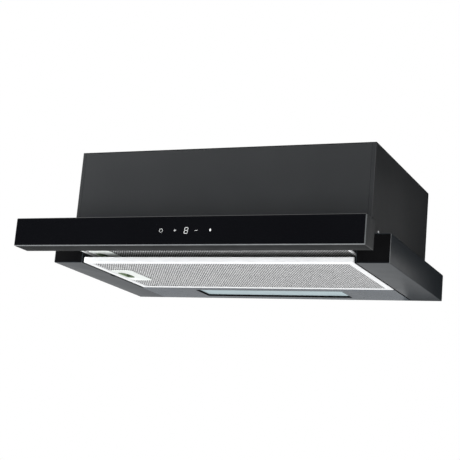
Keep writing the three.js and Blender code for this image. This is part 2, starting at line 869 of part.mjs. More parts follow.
function cableGland() {
  return turned([
    [glandRadius / 2, -glandHeight / 2],
    [glandRadius, -glandHeight / 2],
    [glandRadius, seam],
    [glandRadius + glandFlange, seam],
    [glandRadius + glandFlange, glandFlange],
    [glandRadius, glandHeight],
    [glandRadius / 2, glandHeight],
  ], coarseFacets);
}

function buildElectrics() {
  const electrics = new THREE.Group();
  const bayX = airwayHalf + serviceBay / 2;
  const middleY = boxDepth / 2;
  const boardInset = 2 * (plasticWall + seam);
  const boardWidth = controlWidth - boardInset;
  const board = new THREE.BoxGeometry(boardWidth, controlLength - boardInset, boardThickness);
  addPiece(electrics, 'control_box', openBox(controlWidth, controlLength, controlHeight, plasticWall),
    blackPlastic, [-bayX, middleY, seam]);
  addPiece(electrics, 'control_board', board,
    circuitBoard, [-bayX, middleY, plasticWall + 2 * seam + boardThickness / 2]);
  addPiece(electrics, 'control_lid', new THREE.BoxGeometry(controlWidth, controlLength, plasticWall),
    blackPlastic, [-bayX, middleY, controlHeight + 2 * seam + plasticWall / 2]);
  addPiece(electrics, 'capacitor', roundBar('z', capacitorRadius, [0, capacitorHeight]),
    whitePlastic, [bayX, middleY + driverLength, seam]);
  addPiece(electrics, 'lamp_driver', new THREE.BoxGeometry(driverWidth, driverLength, driverHeight),
    whitePlastic, [bayX, middleY - driverLength, seam + driverHeight / 2]);
  electrics.position.set(0, 0, baseHeight);
  return electrics;
}

function buildGland() {
  const gland = new THREE.Group();
  const [x, y] = glandPlace();
  addPiece(gland, 'cable_gland', cableGland(), blackPlastic, [x, y, boxTop]);
  return gland;
}

// ---------------------------------------------------------------------------
// Drawer: origin at the middle of the visor's back bottom edge, level with the underside
// ---------------------------------------------------------------------------

function visorShell() {
  const half = hoodWidth / 2 - visorCapThickness - seam;
  const front = -visorDepth + glassThickness + seam;
  return fuse(
    blockBetween([-half, half], [front, 0], [baseHeight - sheet, baseHeight]),
    blockBetween([-half, half], [front, 0], [visorBottomGap, visorBottomGap + sheet]),
    blockBetween([-half, half], [-sheet, 0], [visorBottomGap, baseHeight]),
  );
}

function visorCap(side) {
  const outer = side * hoodWidth / 2;
  return blockBetween(
    [outer - side * visorCapThickness, outer],
    [-visorDepth + glassThickness + seam, 0],
    [visorBottomGap, baseHeight],
  );
}

// A folded side: an outer lip beside the filter, a flange over it and a web that carries the runner.
function drawerSide(side) {
  const lengths = [seam, drawerLength];
  const web = side * (runnerInnerFace - seam);
  const lip = side * lipOuter;
  const lipBottom = drawerFilterBottom + sheet;
  const folded = fuse(
    blockBetween([web - side * sheet, web], lengths, [hangerBottom, drawerWebTop]),
    blockBetween([web - side * sheet, lip], lengths, [hangerBottom, hangerBottom + sheet]),
    blockBetween([lip - side * sheet, lip], lengths, [lipBottom, hangerBottom + sheet]),
  );
  const filterY = drawerTailGap;
  const hookZ = drawerFilterBottom + filterSkin;
  const boltZ = drawerFilterBottom + latchBoltLift;
  const slotX = [lip - side * 2 * sheet, lip + side * sheet];
  if (side > 0) {
    const slots = [hookInset, filterDepth - hookInset].map((y) => blockBetween(
      slotX,
      [filterY + y - hookWidth / 2 - seam, filterY + y + hookWidth / 2 + seam],
      [hookZ - seam, hookZ + hookThickness + seam],
    ));
    return carve(folded, ...slots);
  }
  const boltY = filterY + filterDepth / 2;
  return carve(folded, blockBetween(
    slotX,
    [boltY - latchBoltWidth / 2 - seam, boltY + latchBoltWidth / 2 + seam],
    [boltZ - seam, boltZ + latchBoltHeight + seam],
  ));
}

// A C-section along Y whose back is at one X and whose flanges point away from it.
function channel(back, direction, depth, [low, high], thickness, lengths) {
  return fuse(
    blockBetween([back, back + direction * thickness], lengths, [low, high]),
    blockBetween([back, back + direction * depth], lengths, [low, low + thickness]),
    blockBetween([back, back + direction * depth], lengths, [high - thickness, high]),
  );
}

const ballRoom = 2 * (ballRadius + ballClearance);
const raceInset = runnerSheet + ballRoom;

function outerRunner(side) {
  const heights = [runnerBottom, runnerBottom + runnerHeight];
  const lengths = [runnerFront, runnerFront + runnerLength];
  const depth = runnerWidth - seam - runnerSheet;
  return channel(side * runnerOuterFace, -side, depth, heights, runnerSheet, lengths);
}

function innerRunner(side) {
  const heights = [runnerBottom + raceInset, runnerBottom + runnerHeight - raceInset];
  const lengths = [runnerFront - pullOut, runnerFront - pullOut + runnerLength];
  return channel(
    side * runnerInnerFace,
    side,
    runnerWidth - runnerSheet - ballRoom,
    heights,
    runnerSheet,
    lengths,
  );
}

// The cage keeps two rows of balls between the runner's members and rolls half as far as the drawer.
function ballCage(side) {
  const centreY = cageCentreClosed - pullOut / 2;
  const lengths = [centreY - cageLength / 2, centreY + cageLength / 2];
  const rowZ = [
    runnerBottom + runnerSheet + ballRoom / 2,
    runnerBottom + runnerHeight - runnerSheet - ballRoom / 2,
  ];
  const ballX = side * (runnerInnerFace + ballInset + ballRadius);
  const spine = side * (runnerOuterFace - runnerSheet - seam);
  const parts = [blockBetween(
    [spine - side * cageSheet, spine],
    lengths,
    [rowZ[0] - cageSheet / 2, rowZ[1] + cageSheet / 2],
  )];
  for (const z of rowZ) {
    const layer = [z - cageSheet / 2, z + cageSheet / 2];
    parts.push(blockBetween([ballX - side * ballRadius, spine], lengths, layer));
    for (let ball = 0; ball < ballsPerRow; ball += 1) {
      const y = lengths[0] + (cageLength * (ball + 0.5)) / ballsPerRow;
      parts.push(new THREE.SphereGeometry(ballRadius, 6, 4).translate(ballX, y, z));
    }
  }
  return fuse(...parts);
}

function buildRunners() {
  const runners = new THREE.Group();
  for (const [word, side] of [['left', -1], ['right', 1]]) {
    addPiece(runners, `${word}_outer_runner`, outerRunner(side), zincSteel);
    addPiece(runners, `${word}_inner_runner`, innerRunner(side), zincSteel);
    addPiece(runners, `${word}_ball_cage`, ballCage(side), zincSteel);
  }
  return runners;
}

function buildDrawer() {
  const drawer = new THREE.Group();
  const glassMiddle = (visorBottomGap + baseHeight) / 2;
  const glassHeight = baseHeight - visorBottomGap;
  const boardFront = -visorDepth + glassThickness + seam;
  const railHalf = runnerInnerFace - 2 * seam - sheet;
  const tail = filterDepth + 2 * drawerTailGap;
  addPiece(drawer, 'visor_glass', new THREE.BoxGeometry(hoodWidth, glassThickness, glassHeight),
    blackGlass, [0, -visorDepth + glassThickness / 2, glassMiddle]);
  addPiece(drawer, 'visor_shell', visorShell(), blackSteel);
  addPiece(drawer, 'left_visor_cap', visorCap(-1), blackSteel);
  addPiece(drawer, 'right_visor_cap', visorCap(1), blackSteel);
  addPiece(drawer, 'touch_board', new THREE.BoxGeometry(touchBoardWidth, boardThickness, touchBoardHeight),
    circuitBoard, [touchBoardOffset, boardFront + boardThickness / 2, glassMiddle]);
  addPiece(drawer, 'display_module', new THREE.BoxGeometry(displayWidth, displayThickness, displayHeight),
    blackPlastic, [displayOffset, boardFront + boardThickness + seam + displayThickness / 2, glassMiddle]);
  addPiece(drawer, 'left_drawer_side', drawerSide(-1), blackSteel);
  addPiece(drawer, 'right_drawer_side', drawerSide(1), blackSteel);
  addPiece(drawer, 'drawer_back_bar', blockBetween(
    [-railHalf, railHalf],
    [tail, tail + sheet],
    [drawerFilterBottom + sheet, drawerWebTop],
  ), blackSteel);
  const clearance = drawerFilterGap + sheet - seam;
  const cassette = filterCassette('drawer', drawerFilterWidth, clearance, clearance);
  cassette.position.set(0, drawerTailGap, drawerFilterBottom);
  drawer.add(cassette);
  drawer.position.y = -pullOut;
  return drawer;
}

// ---------------------------------------------------------------------------
// The whole hood, with its origin under the middle of its bounding box
// ---------------------------------------------------------------------------

const hood = new THREE.Group();
const fixedHookReach = filterSideGap + hookEngagement;
const fixedBoltReach = filterSideGap + latchEngagement;
const fixedFilter = filterCassette('fixed', filterWidth, fixedHookReach, fixedBoltReach);
fixedFilter.position.set(0, 0, filterLift);
hood.add(buildBase(), buildMotorBox(), buildOutlet(), buildFan(), buildElectrics(), buildGland());
hood.add(buildRunners(), buildDrawer(), fixedFilter);
hood.position.y = -(baseDepth - pullOut - visorDepth) / 2;

export default hood;
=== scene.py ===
# %% [markdown]
# # Dressing a pull-out kitchen hood
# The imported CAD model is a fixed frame: it settles where every piece is and how it moves.
# This lesson puts the finished looks on that frame, one piece and one finish at a time.
# Shapes that the CAD already has right keep their solids and only get a finish.
# Shapes with rolled edges, holes or ribs are rebuilt here and stand for their CAD nodes.

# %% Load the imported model
import json
import math

import bmesh
import bpy
from mathutils import Matrix, Vector


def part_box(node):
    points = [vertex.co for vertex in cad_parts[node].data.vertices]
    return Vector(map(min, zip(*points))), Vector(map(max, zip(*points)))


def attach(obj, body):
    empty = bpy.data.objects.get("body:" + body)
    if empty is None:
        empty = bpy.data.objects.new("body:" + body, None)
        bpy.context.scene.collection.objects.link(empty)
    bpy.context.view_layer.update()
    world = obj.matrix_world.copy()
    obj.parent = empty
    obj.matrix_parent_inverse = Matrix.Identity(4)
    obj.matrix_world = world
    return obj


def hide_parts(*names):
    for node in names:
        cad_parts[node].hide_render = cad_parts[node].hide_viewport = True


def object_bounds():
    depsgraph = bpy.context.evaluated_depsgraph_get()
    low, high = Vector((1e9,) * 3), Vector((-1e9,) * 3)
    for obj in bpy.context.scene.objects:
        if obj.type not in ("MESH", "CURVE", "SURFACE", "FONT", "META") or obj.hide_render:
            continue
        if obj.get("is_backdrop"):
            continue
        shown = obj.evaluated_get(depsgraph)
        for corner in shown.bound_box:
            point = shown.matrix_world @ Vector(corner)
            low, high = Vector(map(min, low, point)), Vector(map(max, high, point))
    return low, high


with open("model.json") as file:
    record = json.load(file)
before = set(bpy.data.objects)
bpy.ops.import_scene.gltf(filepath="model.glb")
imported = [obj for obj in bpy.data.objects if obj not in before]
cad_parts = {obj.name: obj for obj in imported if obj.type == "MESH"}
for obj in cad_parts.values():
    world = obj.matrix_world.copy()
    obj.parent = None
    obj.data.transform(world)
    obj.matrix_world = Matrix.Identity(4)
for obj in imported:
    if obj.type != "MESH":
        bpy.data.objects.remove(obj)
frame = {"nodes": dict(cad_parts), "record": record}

hood_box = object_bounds()

# %% [markdown]
# ## Millimetres
# A hood is drawn in millimetres and Blender works in metres, so one factor turns one into the other.
# Sizes could be typed again from the drawing, but they would drift apart from it.
# Reading each node's box keeps every new piece exactly where its CAD solid is.
# Each direction is kept as a (low, high) pair, and small helpers take its middle or draw it in.

# %% Sizes come from the model
MM = 0.001
SIDES = (("left", -1), ("right", 1))


def span(node):
    """How far a CAD node reaches, in millimetres: a (low, high) pair each for x, y and z."""
    low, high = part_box(node)
    return [(a / MM, b / MM) for a, b in zip(low, high)]


def middle(pair):
    """The value halfway between the two of a pair."""
    return (pair[0] + pair[1]) / 2


def around(at, half):
    """The (low, high) pair that reaches half to either side of a value."""
    return at - half, at + half


def drawn_in(pair, by):
    """The pair with both of its ends moved inwards."""
    return pair[0] + by, pair[1] - by


def angles(count, shift=0.0):
    """Evenly spaced angles once round, turned on by a part of a step."""
    return [2 * math.pi * (k + shift) / count for k in range(count)]


print("hood (mm):", [round((b - a) / MM) for a, b in zip(*hood_box)])

# %% [markdown]
# ## Camera
# The photograph was taken from below, in front of the hood and to its right, with a long lens.
# A camera can be aimed by eye, but here its place and its three angles were fitted to corners of the hood.
# The slight roll is in the photograph too: its left side stands a little lower than its right.

# %% The photograph's camera
EYE = Vector((0.85277, -1.89533, -0.38165))
YAW, PITCH, ROLL = -0.4304, 0.2169, 0.0889
SENSOR_MM, LENS_MM = 36.0, 97.72


def placed(name, data):
    """A new object in the scene that shows the data."""
    thing = bpy.data.objects.new(name, data)
    bpy.context.scene.collection.objects.link(thing)
    return thing


forward = Vector((math.sin(YAW) * math.cos(PITCH), math.cos(YAW) * math.cos(PITCH), math.sin(PITCH)))
level = Vector((math.cos(YAW), -math.sin(YAW), 0.0))
upright = level.cross(forward)
right = level * math.cos(ROLL) + upright * math.sin(ROLL)
above = upright * math.cos(ROLL) - level * math.sin(ROLL)

camera_data = bpy.data.cameras.new("photo_camera")
camera_data.sensor_width = SENSOR_MM
camera_data.lens = LENS_MM
camera = placed("photo_camera", camera_data)
camera.matrix_world = Matrix.Translation(EYE) @ Matrix((right, above, -forward)).transposed().to_4x4()
bpy.context.scene.camera = camera
print("camera", round(EYE.length, 2), "m from the hood, lens", LENS_MM, "mm")

# %% [markdown]
# ## White surroundings
# The hood hangs in front of plain white, as in a catalogue.
# Turning the lamps up until the background clips would bleach the filters as well.
# So only what the camera, a mirror or a glass looks at is pure white, and the light that reaches
# matt surfaces from the same surroundings stays soft and weaker.

# %% World
FILL_STRENGTH = 0.42

scene = bpy.context.scene
scene.view_settings.view_transform = "Standard"
world = bpy.data.worlds.new("white_studio")
scene.world = world
world.use_nodes = True
nodes, links = world.node_tree.nodes, world.node_tree.links
nodes.clear()


def either_ray(first, second):
    """1 for rays of one kind or the other, and 0 for the rest."""
    larger = nodes.new("ShaderNodeMath")
    larger.operation = "MAXIMUM"
    links.new(first, larger.inputs[0])
    links.new(second, larger.inputs[1])
    return larger.outputs[0]


def background(colour, strength):
    """Surroundings of one plain colour."""
    plain = nodes.new("ShaderNodeBackground")
    plain.inputs["Color"].default_value = colour
    plain.inputs["Strength"].default_value = strength
    return plain.outputs[0]


ray = nodes.new("ShaderNodeLightPath").outputs
seen = either_ray(either_ray(ray["Is Camera Ray"], ray["Is Glossy Ray"]), ray["Is Transmission Ray"])
surroundings = nodes.new("ShaderNodeMixShader")
links.new(seen, surroundings.inputs[0])
links.new(background((0.97, 0.985, 1.0, 1.0), FILL_STRENGTH), surroundings.inputs[1])
links.new(background((1.0, 1.0, 1.0, 1.0), 1.0), surroundings.inputs[2])
links.new(surroundings.outputs[0], nodes.new("ShaderNodeOutputWorld").inputs["Surface"])
print("world: fill", FILL_STRENGTH, "and white where it is seen")

# %% [markdown]
# ## Lamps
# The front of the motor box is a little lighter at its top left, so a soft lamp hangs close by on
# that side: a near lamp fades across the box, and a far one would light it evenly.
# A second lamp lights the floor, because the underside is lit only by what the floor sends back up.
# A third, low in front, reaches in under the glass to the front of the fixed filter.

# %% Softboxes
FLOOR_HEIGHT = -2.4


def softbox(name, place, target, size, watts):
    """A large square lamp at a place, facing a target."""
    lamp_data = bpy.data.lights.new(name, "AREA")
    lamp_data.shape = "SQUARE"
    lamp_data.size = size
    lamp_data.energy = watts
    lamp = placed(name, lamp_data)
    lamp.location = place
    lamp.rotation_euler = (Vector(target) - Vector(place)).to_track_quat("-Z", "Y").to_euler()
    lamp.visible_glossy = False
    lamp.visible_camera = False
    print(name, watts, "W,", size, "m across")


softbox("front_softbox", place=(-1.2, -1.4, 0.95), target=(0, 0, 0.1), size=1.0, watts=28.5)
softbox("floor_softbox", place=(-1.5, 1.5, 2.2), target=(-1.0, 1.0, FLOOR_HEIGHT), size=3.0, watts=330)
softbox("low_softbox", place=(-0.3, -2.4, -0.72), target=(0, -0.1, 0), size=0.8, watts=36)

# %% [markdown]
# ## Floor
# The hood hangs on a wall, so its floor is far below it.
# A plain pale sheet keeps the picture calm, and a faint mottling keeps it from looking like a flat fill.

# %% Floor sheet
FLOOR_REACH = 30.0


def stage_sheet(name, corners, material):
    """A flat four-cornered sheet that belongs to the studio and not to the hood."""
    mesh = bpy.data.meshes.new(name)
    mesh.from_pydata(corners, [], [(0, 1, 2, 3)])
    mesh.materials.append(material)
    sheet = placed(name, mesh)
    sheet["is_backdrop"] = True
    return sheet


def new_material(name):
    """A material with its nodes, their links and the sockets of its shader."""
    material = bpy.data.materials.new(name)
    material.use_nodes = True
    nodes, links = material.node_tree.nodes, material.node_tree.links
    return material, nodes, links, nodes["Principled BSDF"].inputs


def stage_paint(name, dark, light):
    """Matt paint whose shade wanders a little between two greys."""
    material, nodes, links, shader = new_material(name)
    shader["Roughness"].default_value = 0.9
    shader["Specular IOR Level"].default_value = 0.1
    mottle = nodes.new("ShaderNodeTexNoise")
    mottle.inputs["Scale"].default_value = 0.6
    ramp = nodes.new("ShaderNodeValToRGB")
    ramp.color_ramp.elements[0].color = (dark, dark, dark, 1.0)
    ramp.color_ramp.elements[1].color = (light, light, light, 1.0)
    links.new(mottle.outputs[0], ramp.inputs[0])
    links.new(ramp.outputs[0], shader["Base Color"])
    return material


floor_corners = ((-FLOOR_REACH, -FLOOR_REACH), (FLOOR_REACH, -FLOOR_REACH),
                 (FLOOR_REACH, FLOOR_REACH), (-FLOOR_REACH, FLOOR_REACH))
stage_sheet("floor", [(x, y, FLOOR_HEIGHT) for x, y in floor_corners], stage_paint("pale_floor", 0.79, 0.83))
print("floor", 2 * FLOOR_REACH, "m across at", FLOOR_HEIGHT, "m")

# %% [markdown]
# ## Dark cards
# Black glass and black paint are judged by what they mirror, and in a white room they look grey.
# A photographer stands dark cards beside the camera, so the glass mirrors those instead.
# Two near cards stand behind the right end: the base darkens towards its back, and the box stays dark.
# The cards here are seen by mirror rays alone: they hide nothing and throw no shadow.

# %% Cards in front of the glass and beside the right end
card_paint = stage_paint("card_paint", 0.010, 0.014)


def dark_card(name, start, end, bottom, top):
    """An upright card that only reflections see, from one place on the ground to another."""
    card = stage_sheet(name, [(*start, bottom), (*end, bottom), (*end, top), (*start, top)], card_paint)
    card.visible_camera = False
    card.visible_diffuse = False
    card.visible_transmission = False
    card.visible_shadow = False


dark_card("front_card", start=(-4.5, -3.0), end=(0.9, -3.0), bottom=-0.6, top=2.8)
dark_card("right_card", start=(0.3, 3.2), end=(4.6, 1.2), bottom=0.55, top=3.6)
dark_card("near_card", start=(0.19, 0.36), end=(0.42, 0.36), bottom=-0.06, top=0.20)
dark_card("high_near_card", start=(0.19, 0.36), end=(1.30, 0.36), bottom=0.20, top=1.2)
print("dark cards: 4")

# %% [markdown]
# ## Finishes
# Every finish starts from Blender's Principled shader and then gets the small faults of the real one.
# The patterns are computed from the place on the piece, so no image is stored and nothing stretches.
# There are three patterns: clouds, cells and crossed strands. Each waits until a finish lays it.

# %% Patterns
def texture(nodes, links, kind, size, stretch=1.0, lean=0.0):
    """A texture that follows the place on the piece, drawn out along x or turned about z."""
    where = nodes.new("ShaderNodeTexCoord")
    moved = nodes.new("ShaderNodeMapping")
    moved.inputs["Scale"].default_value = (stretch, 1.0, 1.0)
    moved.inputs["Rotation"].default_value = (0.0, 0.0, lean)
    made = nodes.new(kind)
    made.inputs["Scale"].default_value = size
    links.new(where.outputs["Object"], moved.inputs["Vector"])
    links.new(moved.outputs["Vector"], made.inputs["Vector"])
    return made


def clouds(size_mm, detail=2.0, stretch=1.0):
    """Cloudy noise with features about size_mm across. A stretch below 1 draws them out along x."""
    def lay(nodes, links):
        noise = texture(nodes, links, "ShaderNodeTexNoise", 1.0 / (size_mm * MM), stretch)
        noise.inputs["Detail"].default_value = detail
        return noise.outputs[0]
    return lay


def cells(size_mm):
    """Cells about size_mm across, each with a shade of its own."""
    def lay(nodes, links):
        return texture(nodes, links, "ShaderNodeTexVoronoi", 1.0 / (size_mm * MM)).outputs["Color"]
    return lay


def strands(size_mm):
    """Two sets of strands that cross and leave lozenges between them, as in expanded mesh."""
    def lay(nodes, links):
        either = nodes.new("ShaderNodeMath")
        either.operation = "MAXIMUM"
        for place, lean in enumerate((0.55, -0.55)):
            wave = texture(nodes, links, "ShaderNodeTexWave", math.pi / (10 * size_mm * MM), lean=lean)
            wave.inputs["Distortion"].default_value = 0.6
            links.new(wave.outputs["Fac"], either.inputs[place])
        return either.outputs[0]
    return lay


print("patterns: clouds, cells, strands")

# %% [markdown]
# A finish uses its patterns in up to three ways: one moves the colour between two shades, one moves the
# roughness between two values, and one may raise the surface. A flat value would look like plastic film.

# %% One tool for all finishes
finishes = {}


def new_finish(name, slot, shades, shade_by, roughness, gloss_by, relief=None, metallic=0.0, specular=0.5):
    """A material whose slot is the part's own name for it. relief is (pattern, depth in mm, strength)."""
    material, nodes, links, shader = new_material(name)
    # The plain values serve viewers that don't compute patterns.
    shader["Base Color"].default_value = (*[middle(pair) for pair in zip(*shades)], 1.0)
    shader["Roughness"].default_value = middle(roughness)
    shader["Metallic"].default_value = metallic
    shader["Specular IOR Level"].default_value = specular
    ramp = nodes.new("ShaderNodeValToRGB")
    for stop, position, shade in zip(ramp.color_ramp.elements, (0.3, 0.7), shades):
        stop.position = position
        stop.color = (*shade, 1.0)
    links.new(shade_by(nodes, links), ramp.inputs[0])
    links.new(ramp.outputs[0], shader["Base Color"])
    between = nodes.new("ShaderNodeMapRange")
    for limit, value in zip(("From Min", "From Max", "To Min", "To Max"), (0.25, 0.75, *roughness)):
        between.inputs[limit].default_value = value
    links.new(gloss_by(nodes, links), between.inputs["Value"])
    links.new(between.outputs[0], shader["Roughness"])
    if relief:
        raised_by, depth_mm, strength = relief
        bump = nodes.new("ShaderNodeBump")
        bump.inputs["Distance"].default_value = depth_mm * MM
        bump.inputs["Strength"].default_value = strength
        links.new(raised_by(nodes, links), bump.inputs["Height"])
        links.new(bump.outputs[0], shader["Normal"])
    finishes[name] = (material, slot)


print("finish tool ready")

# %% [markdown]
# ## Powder-coated steel
# Powder coat is baked on, and it dries with a fine orange peel and a soft, even sheen.
# A flat dark colour would look like a hole in the picture.
# Under the visor the coat gets a darker, duller copy of its own, as painted shade for the underside.
# The strip round the lamp is the same coat, given a lighter, bluer copy of its own as painted light.
# A fine relief breaks up the highlights, and a wide cloudy pattern moves shade and gloss a little.
# At the rails' front ends the cut edge of the sheet gets a pale metal finish, as a painted highlight along
# the base's front corners.

# %% Coats and a painted edge highlight
def coat(name, slot, dark, light, patch_mm, roughness, sheen_mm, depth_mm, strength, specular):
    """A powder coat: two near shades in wide patches, a range of gloss and a fine orange peel."""
    new_finish(name, slot, (dark, light), clouds(patch_mm), roughness, clouds(sheen_mm, 4.0),
               (clouds(1.3, 3.0), depth_mm, strength), specular=specular)


coat("black_coat", "black_steel", (0.0225, 0.024, 0.0255), (0.0265, 0.028, 0.0295), 160,
     (0.42, 0.50), 60, 0.05, 0.35, specular=0.5)
# The rails' coat is a bluer copy of the black coat: its blue is a painted reflection of the pale
# surroundings that the undersides mirror.
coat("rail_coat_blue_reflection", "rail_steel", (0.0225, 0.0275, 0.032), (0.026, 0.031, 0.0365), 120,
     (0.27, 0.34), 45, 0.04, 0.25, specular=0.25)
# The strip's coat is the rails' coat made lighter and bluer: painted light.
coat("strip_coat_painted_light", "rail_steel", (0.047, 0.058, 0.072), (0.054, 0.067, 0.083), 120,
     (0.23, 0.30), 45, 0.04, 0.25, specular=0.55)
# The visor's coat is a darker copy of the black coat: painted shade for its underside.
coat("visor_coat_painted_shade", "black_steel", (0.005, 0.006, 0.0065), (0.007, 0.008, 0.0085), 90,
     (0.44, 0.56), 40, 0.05, 0.35, specular=0.045)
# A pale finish for the rails' cut front edges: a painted highlight.
new_finish("rail_edge_painted_highlight", "rail_steel", ((0.14, 0.145, 0.15), (0.18, 0.185, 0.19)), clouds(4.0),
           (0.38, 0.52), clouds(1.0, 3.0), metallic=0.3)
print("coats:", list(finishes))

# %% [markdown]
# ## Black glass and its ground edge
# The visor is toughened glass, painted black on its back, so it is a mirror over a very dark ground.
# Its front stays almost perfectly smooth, with faint wipe marks in the gloss.
# The edge is ground to a narrow bevel. At the lower edge and the ends the bevel is pale grey: partly the
# frosted look of a ground edge, and partly a painted highlight for the thin pale line there.

# %% Glass finishes
new_finish("black_glass", "black_glass", ((0.0029, 0.0031, 0.0040), (0.0036, 0.0038, 0.0049)), clouds(220),
           (0.03, 0.06), clouds(30, 5.0, stretch=0.3))
# Pale grey for the lower and end bevels: ground glass, and a painted highlight.
new_finish("ground_edge_and_highlight", "black_glass", ((0.13, 0.14, 0.145), (0.18, 0.19, 0.195)), clouds(14),
           (0.26, 0.40), clouds(3, 4.0), (clouds(0.6), 0.02, 0.3))
new_finish("white_print", "white_plastic", ((0.64, 0.65, 0.64), (0.74, 0.75, 0.74)), clouds(1.2),
           (0.40, 0.50), clouds(0.8))
print("glass finishes: black_glass, ground_edge_and_highlight, white_print")

# %% [markdown]
# ## Bright metals
# The grease filters are aluminium: satin on the rolled frame, and brighter on the punched sheet.
# Rolling leaves fine lines along the sheet, so their pattern is drawn out in one direction.
# The core behind the sheet is expanded mesh, whose strands cross and leave lozenges between them. It is
# coloured far darker than aluminium, as painted shade inside the filter.
# The runners and brackets are zinc-plated steel, whose crystals show as a faint spangle.

# %% Aluminium and zinc
new_finish("frame_aluminium", "aluminium", ((0.88, 0.89, 0.90), (0.93, 0.94, 0.95)), clouds(40),
           (0.38, 0.52), clouds(2.0, 3.0, stretch=0.05), (clouds(0.8, stretch=0.04), 0.02, 0.25),
           metallic=0.08)
new_finish("sheet_aluminium", "aluminium", ((0.87, 0.87, 0.875), (0.93, 0.93, 0.935)), clouds(70, 3.0),
           (0.33, 0.44), clouds(3.0, 3.0, stretch=0.08), (clouds(2.2), 0.05, 0.3), metallic=0.5)
# The walls of the punched holes are dark: painted shade inside the holes.
new_finish("hole_wall_painted_shade", "aluminium", ((0.035, 0.036, 0.037), (0.065, 0.066, 0.068)), clouds(1.5),
           (0.5, 0.7), clouds(0.8), metallic=0.3)
# The core is aluminium coloured nearly black: painted shade inside the filter.
new_finish("crimped_core_painted_shade", "aluminium", ((0.012, 0.0125, 0.013), (0.17, 0.173, 0.177)), strands(3.2),
           (0.42, 0.58), clouds(9, 3.0), (strands(3.2), 0.4, 0.7), metallic=0.3)
new_finish("zinc_plate", "zinc_steel", ((0.52, 0.53, 0.545), (0.66, 0.67, 0.68)), cells(7),
           (0.28, 0.42), cells(7), (clouds(1.0), 0.02, 0.2), metallic=1.0)
print("metals: frame, sheet, punched edge and crimped aluminium, zinc plate")

# %% [markdown]
# ## Plastics, lamp cover and board
# Moulded parts have a fine spark-eroded grain, which scatters the highlight.
# The grip of each filter is milky white with a green latch, and the inside of its pocket is a darker green,
# as painted shade; the lamp cover is a pale opal.
# A circuit board is green lacquer over copper, so two patterns of cells give lands and tracks.

# %% Plastics
def moulded(name, slot, dark, light, roughness, specular=0.5):
    """A moulded plastic: two near shades, a range of gloss and a fine grain."""
    new_finish(name, slot, (dark, light), clouds(35, 3.0), roughness, clouds(12, 3.0),
               (clouds(0.7), 0.04, 0.4), specular=specular)


moulded("black_plastic", "black_plastic", (0.010, 0.010, 0.011), (0.014, 0.014, 0.015), (0.48, 0.60))
moulded("grey_plastic", "grey_plastic", (0.22, 0.235, 0.245), (0.27, 0.285, 0.295), (0.50, 0.62))
# Near-black and matt for the rail ends, the gap strips and the lamp recess: black, with painted shade.
moulded("black_and_painted_shade", "black_plastic", (0.0022, 0.0022, 0.0026), (0.0034, 0.0034, 0.0038), (0.60, 0.70),
        specular=0.1)
moulded("milky_plastic", "white_plastic", (0.86, 0.90, 0.87), (0.90, 0.935, 0.91), (0.30, 0.40))
moulded("green_plastic", "green_plastic", (0.28, 0.37, 0.24), (0.36, 0.45, 0.31), (0.40, 0.50))
# A darker green for the inside of the grips' pockets: painted shade.
moulded("pocket_painted_shade_green", "green_plastic", (0.12, 0.16, 0.10), (0.16, 0.21, 0.135), (0.45, 0.55))
moulded("opal_cover", "opal_plastic", (0.36, 0.45, 0.48), (0.41, 0.51, 0.54), (0.42, 0.50))
new_finish("board_lacquer", "circuit_board", ((0.012, 0.065, 0.035), (0.05, 0.15, 0.07)), cells(6),
           (0.35, 0.5), clouds(5), (cells(6), 0.05, 0.4))
print("finishes in all:", len(finishes))

# %% [markdown]
# ## Finishing a piece
# Each rebuilt piece goes through the same last steps, so they are one tool.
# It gets its finish, an optional small round on its sharp edges, and the body that it moves with.
# Where it stands for CAD solids, these are hidden and go on carrying the collisions.

# %% Tool that fits a piece to the hood
SHARP_ABOVE = math.radians(32)
ROUNDED_ABOVE = math.radians(40)
JOINED_WITHIN = 0.002


def fit(mesh, finish, body="housing", stands_for=(), edge=0.0):
    """Puts a mesh into the scene as a piece of the hood, under the mesh's name, and returns its object."""
    material, slot = finishes[finish]
    if not mesh.materials:
        mesh.materials.append(material)
    mesh.shade_smooth()
    mesh.set_sharp_from_angle(angle=SHARP_ABOVE)
    piece = placed(mesh.name, mesh)
    if edge:
        rounding = piece.modifiers.new("soft_edge", "BEVEL")
        rounding.width = edge * MM
        rounding.segments = 2
        rounding.limit_method = "ANGLE"
        rounding.angle_limit = ROUNDED_ABOVE
        rounding.harden_normals = True
    if stands_for:
        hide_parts(*stands_for)
    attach(piece, body)
    print("fitted", piece.name, "as", finish, "on", body)
    return piece


def two_finishes(mesh, main, other, takes_other):
    """Gives a mesh two finishes. takes_other picks the faces that get the second one."""
    for finish in (main, other):
        mesh.materials.append(finishes[finish][0])
    for face in mesh.polygons:
        face.material_index = int(takes_other(face))


def to_mesh(name, points, faces):
    """A mesh from points in millimetres, with its faces turned outwards."""
    mesh = bpy.data.meshes.new(name)
    mesh.from_pydata([(x * MM, y * MM, z * MM) for x, y, z in points], [], faces)
    shape = bmesh.new()
    shape.from_mesh(mesh)
    bmesh.ops.remove_doubles(shape, verts=shape.verts, dist=JOINED_WITHIN * MM)
    bmesh.ops.recalc_face_normals(shape, faces=shape.faces)
    shape.to_mesh(mesh)
    shape.free()
    return mesh


print("fitting tools ready")

# %% [markdown]
# ## Folded sheet
# Nearly all of the hood is steel sheet, bent on a press brake: one thickness, and a small round at each
# bend. A box with a bevel would be as thick as the whole piece.
# So the line of the sheet is drawn once, its corners are rounded, and it is given its thickness and length.

# %% Tool for bent sheet
SHEET = 1.0
BEND_STEPS = 4


